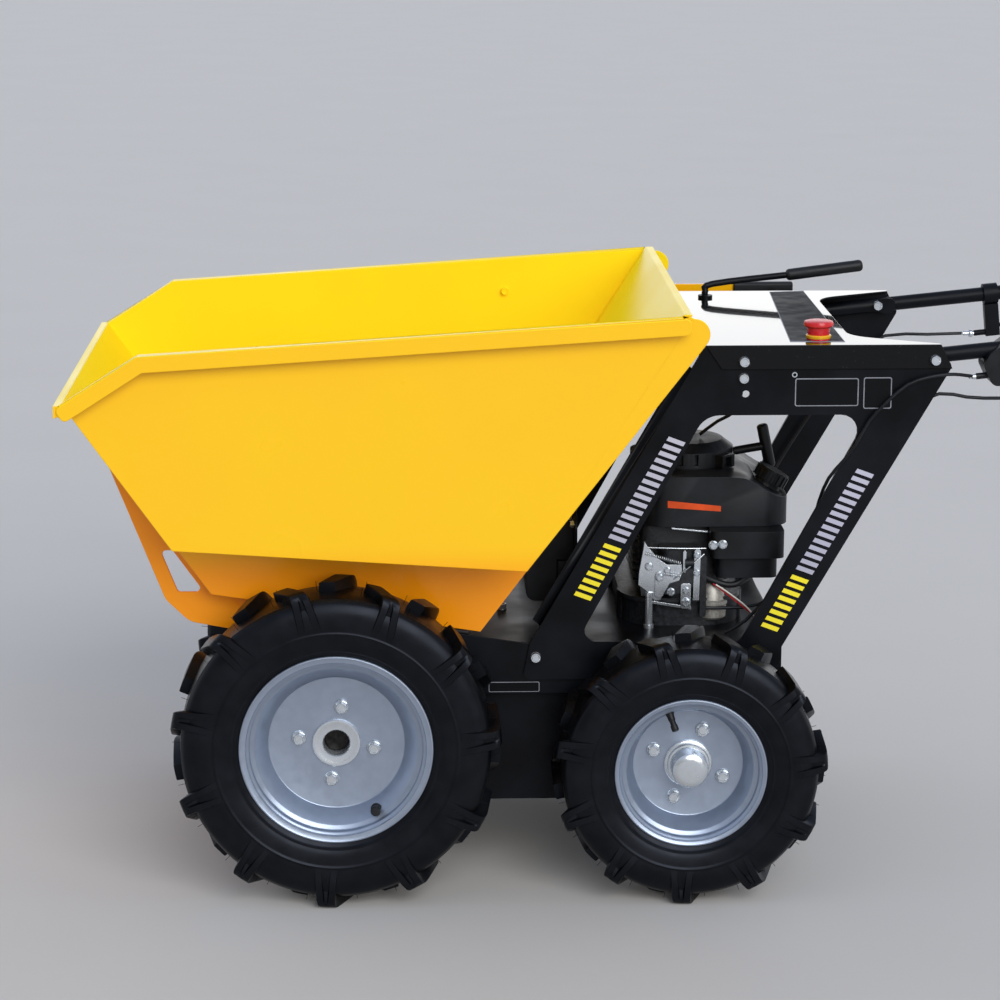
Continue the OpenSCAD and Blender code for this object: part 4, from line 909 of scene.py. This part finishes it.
class DUMPER_OT_engine(bpy.types.Operator):
    """Dress the engine and the switch box, and add the governor, hose and wires"""

    bl_idname = "dumper.engine"
    bl_label = "Engine"

    def execute(self, context):
        dress("crankcase", "engine_enamel", 1.2)
        for node in ("cooling_shroud", "recoil_cover", "fuel_cap", "air_filter", "switch_box"):
            dress(node, "moulded_plastic", 2.2, 3)
        dress("recoil_handle", "moulded_plastic", 0.8)
        dress("carburettor", "engine_enamel", 0.8)
        dress("muffler", "zinc_plate", 3, 3)
        self.governor()
        for name, (radius, look, points) in ENGINE_RODS.items():
            rod(name, points, radius, look)
        turned_along("pump_casting", at(548, 135, 366), (0, 0, 1), PUMP_CASTING, "cast_alloy")
        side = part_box("cooling_shroud")[1].y
        plate("shroud_stripe", side_view((482.8, 538.8), (560.8, 530.6), (560.9, 522.5), (482.9, 528.4)),
              side, side + FILM, "label_orange", edge=0)
        return {"FINISHED"}

    def governor(self):
        """Levers, springs and rods of the speed governor, on the near side of the carburettor"""
        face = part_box("carburettor")[1].y
        out = face / MM
        for name, (outline, low, high, edge) in GOVERNOR_PLATES.items():
            plate(name, outline, face + low * MM, face + high * MM, "zinc_plate", edge=edge)
        rod("governor_spool", [(506, out, 454), (512.5, out, 454), (519, out, 454)], 7, "moulded_plastic")
        strip = side_view((489, 496.5), (543, 491), (543, 493.5), (489, 499))
        plate("shroud_strip", strip, 121 * MM, 127.5 * MM, "zinc_plate", edge=0.6)
        places = [(b, out + off, u, size) for b, u, off, size in GOVERNOR_BOLTS]
        places += [(b, y, u, size) for b, u, y, size in FILTER_BOLTS]
        left = Vector((0, 1, 0))
        bolts("governor_bolts", [(at(b, y, u), left, size * MM) for b, y, u, size in places], "chassis")
        spring("governor_spring_long", (448, out + 4, 470), (500, out + 4, 455), 2.4, 18)
        spring("governor_spring_short", (470, out + 4, 440), (500, out + 4, 436), 2.6, 12)
        high = [(450, out + 1, 478), (495, out + 4, 477), (536, out + 1, 476)]
        rod("governor_rod_high", high, 1.1, "zinc_plate")
        cross = [(489, out + 1, 430), (512, out + 5, 449), (534, out + 1, 468)]
        rod("governor_rod_cross", cross, 1.1, "zinc_plate")
        turned_along("governor_post", at(454, 160, 357), (0, 0, 1), GOVERNOR_POST, "zinc_plate")


# A wheel in millimetres: its tyre's radius and half width, its rim's seat, lip, half width, dish, disc and
# step, the turn of its bolts in degrees, and whether its hub is capped.
WHEELS = {
    "front": {"radius": 234, "half": 54, "seat": 127, "lip": 10, "rim": 45, "dish": 38, "disc": 104,
              "step": 122, "bolt_turn": -8, "cap": False},
    "rear": {"radius": 195, "half": 52, "seat": 101.5, "lip": 7, "rim": 43, "dish": 50, "disc": 86,
             "step": 97, "bolt_turn": -22, "cap": True},
}
# A valve: its place round the rim in degrees, the radius and depth of its foot, its lean along the radius and
# outward, and its section.
VALVES = {
    "front": {"turn": 120.7, "foot": 109, "depth": 14.5, "lean": (-0.1, 0.99), "stem": [
        (0, 0), (8, 0), (8, 2), (6, 4), (5.6, 10), (7, 11), (7.2, 18), (6, 20), (0, 20.4)]},
    "rear": {"turn": -70, "foot": 90, "depth": 22, "lean": (-0.86, 0.5), "stem": [
        (0, 0), (8.6, 0), (8.6, 1.6), (6.4, 4), (5.2, 9), (5.0, 15), (4.2, 16), (4.2, 22), (5.2, 22.4),
        (5.2, 30), (4.4, 31.2), (0, 31.4)]},
}
# Carcass from bead to shoulder crease, then to the middle: shares of half width and of height to lug tops.
FLANK = [(0.80, 0.12), (0.9, 0.24), (0.955, 0.42), (0.965, 0.56), (0.935, 0.70), (0.85, 0.80), (0.72, 0.855)]
CROWN = [(0.72, 0.855), (0.4, 0.868), (0.0, 0.872)]
# Ring lines on a flank: share of the height, then rise and width in millimetres.
RING_LINES = [(0.42, 1.2, 1.4), (0.17, 0.9, 1.2)]
# A lug from foot to tread middle: lead in degrees, shares of half width, height and lug width, fork depth.
LUG = [(0.0, 0.955, 0.42, 1.4, 0.03), (0.48, 1.0, 0.7, 1.2, 0.13), (1.44, 0.9, 0.97, 1.04, 0.0),
       (4.8, 0.4, 1.0, 1.0, 0.0), (8.0, -0.06, 1.0, 0.9, 0.0)]
# Vent hairs beside a lug: lead in degrees, share of the half width and length in millimetres.
VENT_HAIRS = [(7.5, 0.5, 14), (12, 0.3, 15), (-6, 0.62, 12)]


def wheel_centre(place):
    """Middle of a wheel from the box of its tyre solid."""
    low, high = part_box("tyre_" + place)
    return (low + high) / 2


def carcass_profile(wheel):
    """Carcass section from bead to bead, with ring lines on each flank."""
    seat_r, high, half = wheel["seat"], wheel["radius"] - wheel["seat"], wheel["half"]
    bead = wheel["rim"] - 3.2
    near = [(seat_r + 1, bead), (seat_r + wheel["lip"] + 0.4, bead)]
    for p in curve_through([(seat_r + h * high, w * half, 0) for w, h in FLANK], 14):
        lines = (rise * math.exp(-((p.x - seat_r - h * high) / wide) ** 2) for h, rise, wide in RING_LINES)
        near.append((p.x, p.y + sum(lines)))
    near += [(p.x, p.y) for p in curve_through([(seat_r + h * high, w * half, 0) for w, h in CROWN], 6)[1:]]
    return near + [(r, -w) for r, w in near[-2::-1]]


def lug_mesh(name, wheel, row):
    """One lug on the x axis, from its forked foot on the flank to the tread's middle, with vent hairs."""
    shape = bmesh.new()
    high = wheel["radius"] - wheel["seat"]
    stations = curve_through([(lead, wide, up) for lead, wide, up, _, _ in LUG], 6)
    widths = curve_through([(width, fork, 0) for _, _, _, width, fork in LUG], 6)
    core = wheel["seat"] + 0.55 * high
    half_lug = sizes().lug_width / MM / 2
    rings = []
    for station, width in zip(stations, widths):
        radius = min(wheel["seat"] + station.z * high, wheel["radius"] - 0.05)
        axial = min(station.y, 1.0) * wheel["half"]
        inner = max(0.15, 1 - sizes().lug_leg / MM / (width.x * half_lug))
        edge = [(inner - 0.11, max(0.0, width.y)), (inner, 0.0), (0.93, 0.0), (1.0, 0.035), (1.1, 0.6)]
        ring = []
        for u, sink in [(-u, sink) for u, sink in reversed(edge)] + edge:
            r = radius + (core - radius) * sink
            turn = math.radians(station.x) + math.asin(u * width.x * half_lug / r)
            ring.append(shape.verts.new(
                (r * math.cos(turn) * MM, axial * (1 - sink) * row * MM, -r * math.sin(turn) * MM)))
        rings.append(ring)
    skin(shape, rings)
    low = wheel["seat"] + 0.84 * high
    for turn, share, length in VENT_HAIRS:
        way = Vector((math.cos(math.radians(turn)), 0, -math.sin(math.radians(turn))))
        foot = way * low * MM + Vector((0, share * wheel["half"] * row * MM, 0))
        sweep(shape, [foot, foot + way * length * MM * 0.6, foot + way * length * MM], 0.35 * MM, 4)
    return mesh_of(name, shape, 38)


class DUMPER_OT_tyres(bpy.types.Operator):
    """Make the four lugged tyres"""

    bl_idname = "dumper.tyres"
    bl_label = "Tyres"

    def execute(self, context):
        for end, wheel in WHEELS.items():
            outer = pattern("lug_outer_" + end, lug_mesh("lug_outer_" + end, wheel, 1))
            inner = pattern("lug_inner_" + end, lug_mesh("lug_inner_" + end, wheel, -1))
            # The last station of a lug stands on the ground.
            lead, width = LUG[-1][0], LUG[-1][3] * sizes().lug_width
            turn = math.radians(90 - lead) + math.asin(width / (2 * wheel["radius"] * MM))
            for side, sign in SIDES.items():
                place = end + "_" + side
                name = "look_tyre_" + place
                piece = show(name, mesh_of(name, revolve(carcass_profile(wheel), 132), 30))
                mesh = grow(piece, lug_ring, {
                    "Outer Lug": outer, "Inner Lug": inner, "Count": sizes().lug_count, "Turn": turn,
                    "Material": finish("tyre_rubber")})
                mesh.transform(Matrix.Translation(wheel_centre(place)) @ Matrix.Diagonal((1, sign, 1, 1)))
                if sign < 0:
                    mesh.flip_normals()
                seat(piece, "wheel_" + place, "tyre_rubber", ("tyre_" + place,))
        return {"FINISHED"}


def rim_profile(wheel):
    """Closed section of a pressed rim: rolled lips, bead seats, well, dish and disc."""
    seat_r, half, disc, step = wheel["seat"], wheel["rim"], wheel["disc"], wheel["step"]
    edge = seat_r + wheel["lip"]
    out = half - wheel["dish"]
    t = 3.0
    hub = 34.0
    face = [
        (hub, out), (disc - 8.6, out), (disc - 7.6, out + 0.3), (disc - 6.9, out + 1.1),
        (disc - 6.4, out + 3)]
    ledges = [
        (step - 7, half - 17), (step - 5.5, half - 15.6), (step - 1.2, half - 14.6), (step, half - 13.4),
        (step + 0.8, half - 6.4), (step + 2, half - 5.2), (seat_r - 1.6, half - 4.6),
        (seat_r - 0.4, half - 3.6)]
    lip = [
        (seat_r + 0.6, half - 1.5), (edge - 4, half - 0.9), (edge - 2.2, half), (edge - 0.7, half - 0.3),
        (edge, half - 1.4), (edge, half - 2.6), (seat_r + 1, half - t), (seat_r, half - t - 1),
        (seat_r, half - 16)]
    well = [(disc + t + 4, out + 2), (disc + t, out - 14), (seat_r, 16 - half)]
    back = [
        (seat_r, t - half), (edge, 2.6 - half), (edge, 0.9 - half), (edge - 2.5, -half), (seat_r - t, -half),
        (seat_r - t, 16 - half), (disc, out - 16), (disc - 4, out - 4), (hub, out - 4)]
    return face + ledges + lip + well + back


def hub_profile(wheel):
    """Section of a hub: capped, or open around the end of the axle."""
    out, back = wheel["rim"] - wheel["dish"], -50
    bore, face = 18, [(31, 4.3), (28.5, 3.4), (20, 3.2), (18.4, 1.5), (18, -1)]
    if wheel["cap"]:
        bore, face = 0, [
            (30.5, 4.4), (30, 8), (29, 9), (26.5, 9.4), (26, 11), (26, 34), (25, 38.5),
            (21.5, 41.4), (15, 42), (0, 42)]
    barrel = [(bore, back), (30, back), (34.5, back + 3), (34.5, out + 3), (33.4, out + 4)]
    return barrel + [(radius, out + rise) for radius, rise in face]


class DUMPER_OT_rims(bpy.types.Operator):
    """Make the four pressed rims with their hubs, bolts and valves"""

    bl_idname = "dumper.rims"
    bl_label = "Rims"

    def execute(self, context):
        for end, wheel in WHEELS.items():
            for side, sign in SIDES.items():
                self.rim(end, wheel, end + "_" + side, sign)
        return {"FINISHED"}

    def rim(self, end, wheel, place, sign):
        """One rim with what it carries"""
        body = "wheel_" + place
        move = Matrix.Translation(wheel_centre(place)) @ Matrix.Diagonal((1, sign, 1, 1))
        out = wheel["rim"] - wheel["dish"]
        dish = revolve(rim_profile(wheel), 128, True)
        dish.transform(move)
        new_piece("look_rim_" + place, dish, body, "silver_paint", ("rim_" + place,))
        hub = revolve(hub_profile(wheel), 72, not wheel["cap"])
        hub.transform(move)
        new_piece("hub_" + place, hub, body, "zinc_plate")
        places = []
        for k in range(4):
            a = math.radians(wheel["bolt_turn"]) + k * math.pi / 2
            spot = Vector((BOLT_CIRCLE * math.cos(a), out + 0.2, -BOLT_CIRCLE * math.sin(a))) * MM
            places.append((move @ spot, Vector((0, sign, 0)), sizes().rim_bolt))
        bolts("bolts_" + place, places, body)
        valve = VALVES[end]
        a = math.radians(valve["turn"])
        radial = Vector((math.cos(a), 0, -math.sin(a)))
        foot = radial * valve["foot"] * MM + Vector((0, (out + valve["depth"]) * MM, 0))
        along, outward = valve["lean"]
        way = (radial * along + Vector((0, outward, 0))).normalized()
        stem = standing(revolve(valve["stem"], 24), foot, way)
        stem.transform(move)
        new_piece("valve_" + place, stem, body, "grip_rubber")


# Bolts of each side: millimetres behind the front axle, left of the middle and above the ground, the way they
# face, and their share of the frame bolt.
FRAME_BOLTS = [
    (577, 247, 767, (0, 1, 0), 1.0), (577, 244, 743, (0, 1, 0), 1.0), (847, 247, 768, (0, 1, 0), 1.0),
    (285, 244, 338, (0, 1, 0), 1.0), (837, 215.8, 771, (0, -1, 0), 1.0), (345, 140, 508, (1, 0, 0), 0.7),
    (243, 47, 357, (0, 0, 1), 1.0)]
TUB_BOLTS = [(259.4, 330, 778.4, (0, -1, 0), 0.8)]
HOLE_RING = [(2.4, 0), (3.8, 0), (3.8, 0.5), (2.4, 0.5)]


class DUMPER_OT_fasteners(bpy.types.Operator):
    """Put the bolts on the frame and the tub"""

    bl_idname = "dumper.fasteners"
    bl_label = "Fasteners"

    def execute(self, context):
        slim = 1.12
        bolts("frame_bolts", self.places(FRAME_BOLTS), "chassis", flange=slim)
        bolts("tub_bolts", self.places(TUB_BOLTS), "tub", "yellow_enamel", slim)
        for side, sign in SIDES.items():
            ring = revolve(HOLE_RING, 24, True)
            ring.transform(Matrix.Translation(at(649, sign * 244, 747.2)) @ Matrix.Diagonal((1, sign, 1, 1)))
            new_piece("hole_ring_" + side, ring, "chassis", "zinc_plate")
        return {"FINISHED"}

    def places(self, table):
        """Places of a table's bolts on both sides"""
        return [(at(back, sign * left, up), Vector((x, sign * y, z)), share * sizes().bolt)
                for sign in SIDES.values() for back, left, up, (x, y, z), share in table]


# Directions along and across the legs, and the outline of a bar in millimetres along and across.
ALONG_LEG = Vector((-0.5, 0, 0.866))
ACROSS_LEG = Vector((-0.866, 0, -0.5))
BAR = [(-3.6, -12.5), (3.0, -12.5), (7.2, 12.5), (0.6, 12.5)]
BAR_STEP = 11.6
# Where the bars of a leg start, and its rows: colour, count and start up the leg, in millimetres.
LEGS = {"front": (352, 426), "rear": (621, 378)}
BAR_ROWS = [("yellow", 8, 0), ("silver", 15, 97)]
# Blank labels: border, field, solid that carries them, panel, inset of the field and both corners.
LABELS = [
    ("plate_wide", "plate_wide_field", "frame_plate_left", (650, 740, 702, 742), 1.5, (3, 2)),
    ("plate_square", "plate_square_field", "frame_plate_left", (747, 787, 698, 743), 1.5, (3, 2)),
    ("strip_border", "strip_field", "tray", (218, 291, 284, 299), 1, (2, 1.5))]
# Corners of the deck's plate, its middle and the share that its field fills.
DECK_PLATE = [(669.6, -234.5), (723.9, -242.5), (722.2, 223.3), (644.6, 220.4)]
DECK_MIDDLE = Vector((690, 0))
DECK_FIELD = 0.965


class DUMPER_OT_marks(bpy.types.Operator):
    """Lay the bars on the legs and the blank plates on the frame and deck"""

    bl_idname = "dumper.marks"
    bl_label = "Marks"

    def execute(self, context):
        for side, sign in SIDES.items():
            self.bars(side, sign)
        for border, field, node, (back, rear, low, high), inset, corners in LABELS:
            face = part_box(node)[1].y
            panel = rounded_panel(back, rear, low, high, corners[0])
            plate(border, panel, face, face + FILM, "label_silver", edge=0)
            panel = rounded_panel(back + inset, rear - inset, low + inset, high - inset, corners[1])
            plate(field, panel, face, face + FILM * 2, "label_black", edge=0)
        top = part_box("deck_cover")[1].z
        for name, share, films, look in (
                ("deck_plate", 1, 1, "label_silver"), ("deck_plate_field", DECK_FIELD, 2, "label_black")):
            corners = [DECK_MIDDLE + (Vector(c) - DECK_MIDDLE) * share for c in DECK_PLATE]
            outline = [at(c.x, c.y, 0).xy for c in corners]
            plate(name, outline, top, top + FILM * films, look, edge=0, axis="z")
        return {"FINISHED"}

    def bars(self, side, sign):
        """Bars on the two legs of one side"""
        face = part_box("frame_plate_" + side)[1 if sign > 0 else 0].y
        corners = [(ALONG_LEG * along + ACROSS_LEG * across) * MM for along, across in BAR]
        low, high = sorted((face, face + sign * FILM))
        shape = prism([(c.x, c.z) for c in corners], low, high)
        master = pattern("leg_bar_" + side, mesh_of("leg_bar_" + side, shape))
        for leg, (back, up) in LEGS.items():
            for colour, count, start in BAR_ROWS:
                row_of("bars_" + colour + "_" + leg + "_" + side, master, count,
                       at(back, 0, up) + ALONG_LEG * start * MM, ALONG_LEG * BAR_STEP * MM, "bar_" + colour)


class DUMPER_PT_panel(bpy.types.Panel):
    """Sidebar panel that lists the steps"""

    bl_idname = "DUMPER_PT_panel"
    bl_label = "Site Dumper"
    bl_space_type = "VIEW_3D"
    bl_region_type = "UI"
    bl_category = "Dumper"

    def draw(self, context):
        for step in STEPS:
            self.layout.operator(step.bl_idname)


STEPS = (DUMPER_OT_stage, DUMPER_OT_tub, DUMPER_OT_chassis, DUMPER_OT_controls, DUMPER_OT_engine,
         DUMPER_OT_tyres, DUMPER_OT_rims, DUMPER_OT_fasteners, DUMPER_OT_marks)
CLASSES = (DumperColours, DumperSizes) + STEPS + (DUMPER_PT_panel,)


def register():
    """Register the classes and hang the choices on the scene."""
    for item in CLASSES:
        bpy.utils.register_class(item)
    bpy.types.Scene.dumper_colours = PointerProperty(type=DumperColours)
    bpy.types.Scene.dumper_sizes = PointerProperty(type=DumperSizes)


def unregister():
    """Undo what register did."""
    del bpy.types.Scene.dumper_sizes
    del bpy.types.Scene.dumper_colours
    for item in reversed(CLASSES):
        bpy.utils.unregister_class(item)


def main():
    """Make the object."""
    register()
    for step in STEPS:
        group, name = step.bl_idname.split(".")
        getattr(getattr(bpy.ops, group), name)()


if __name__ == "__main__":
    main()
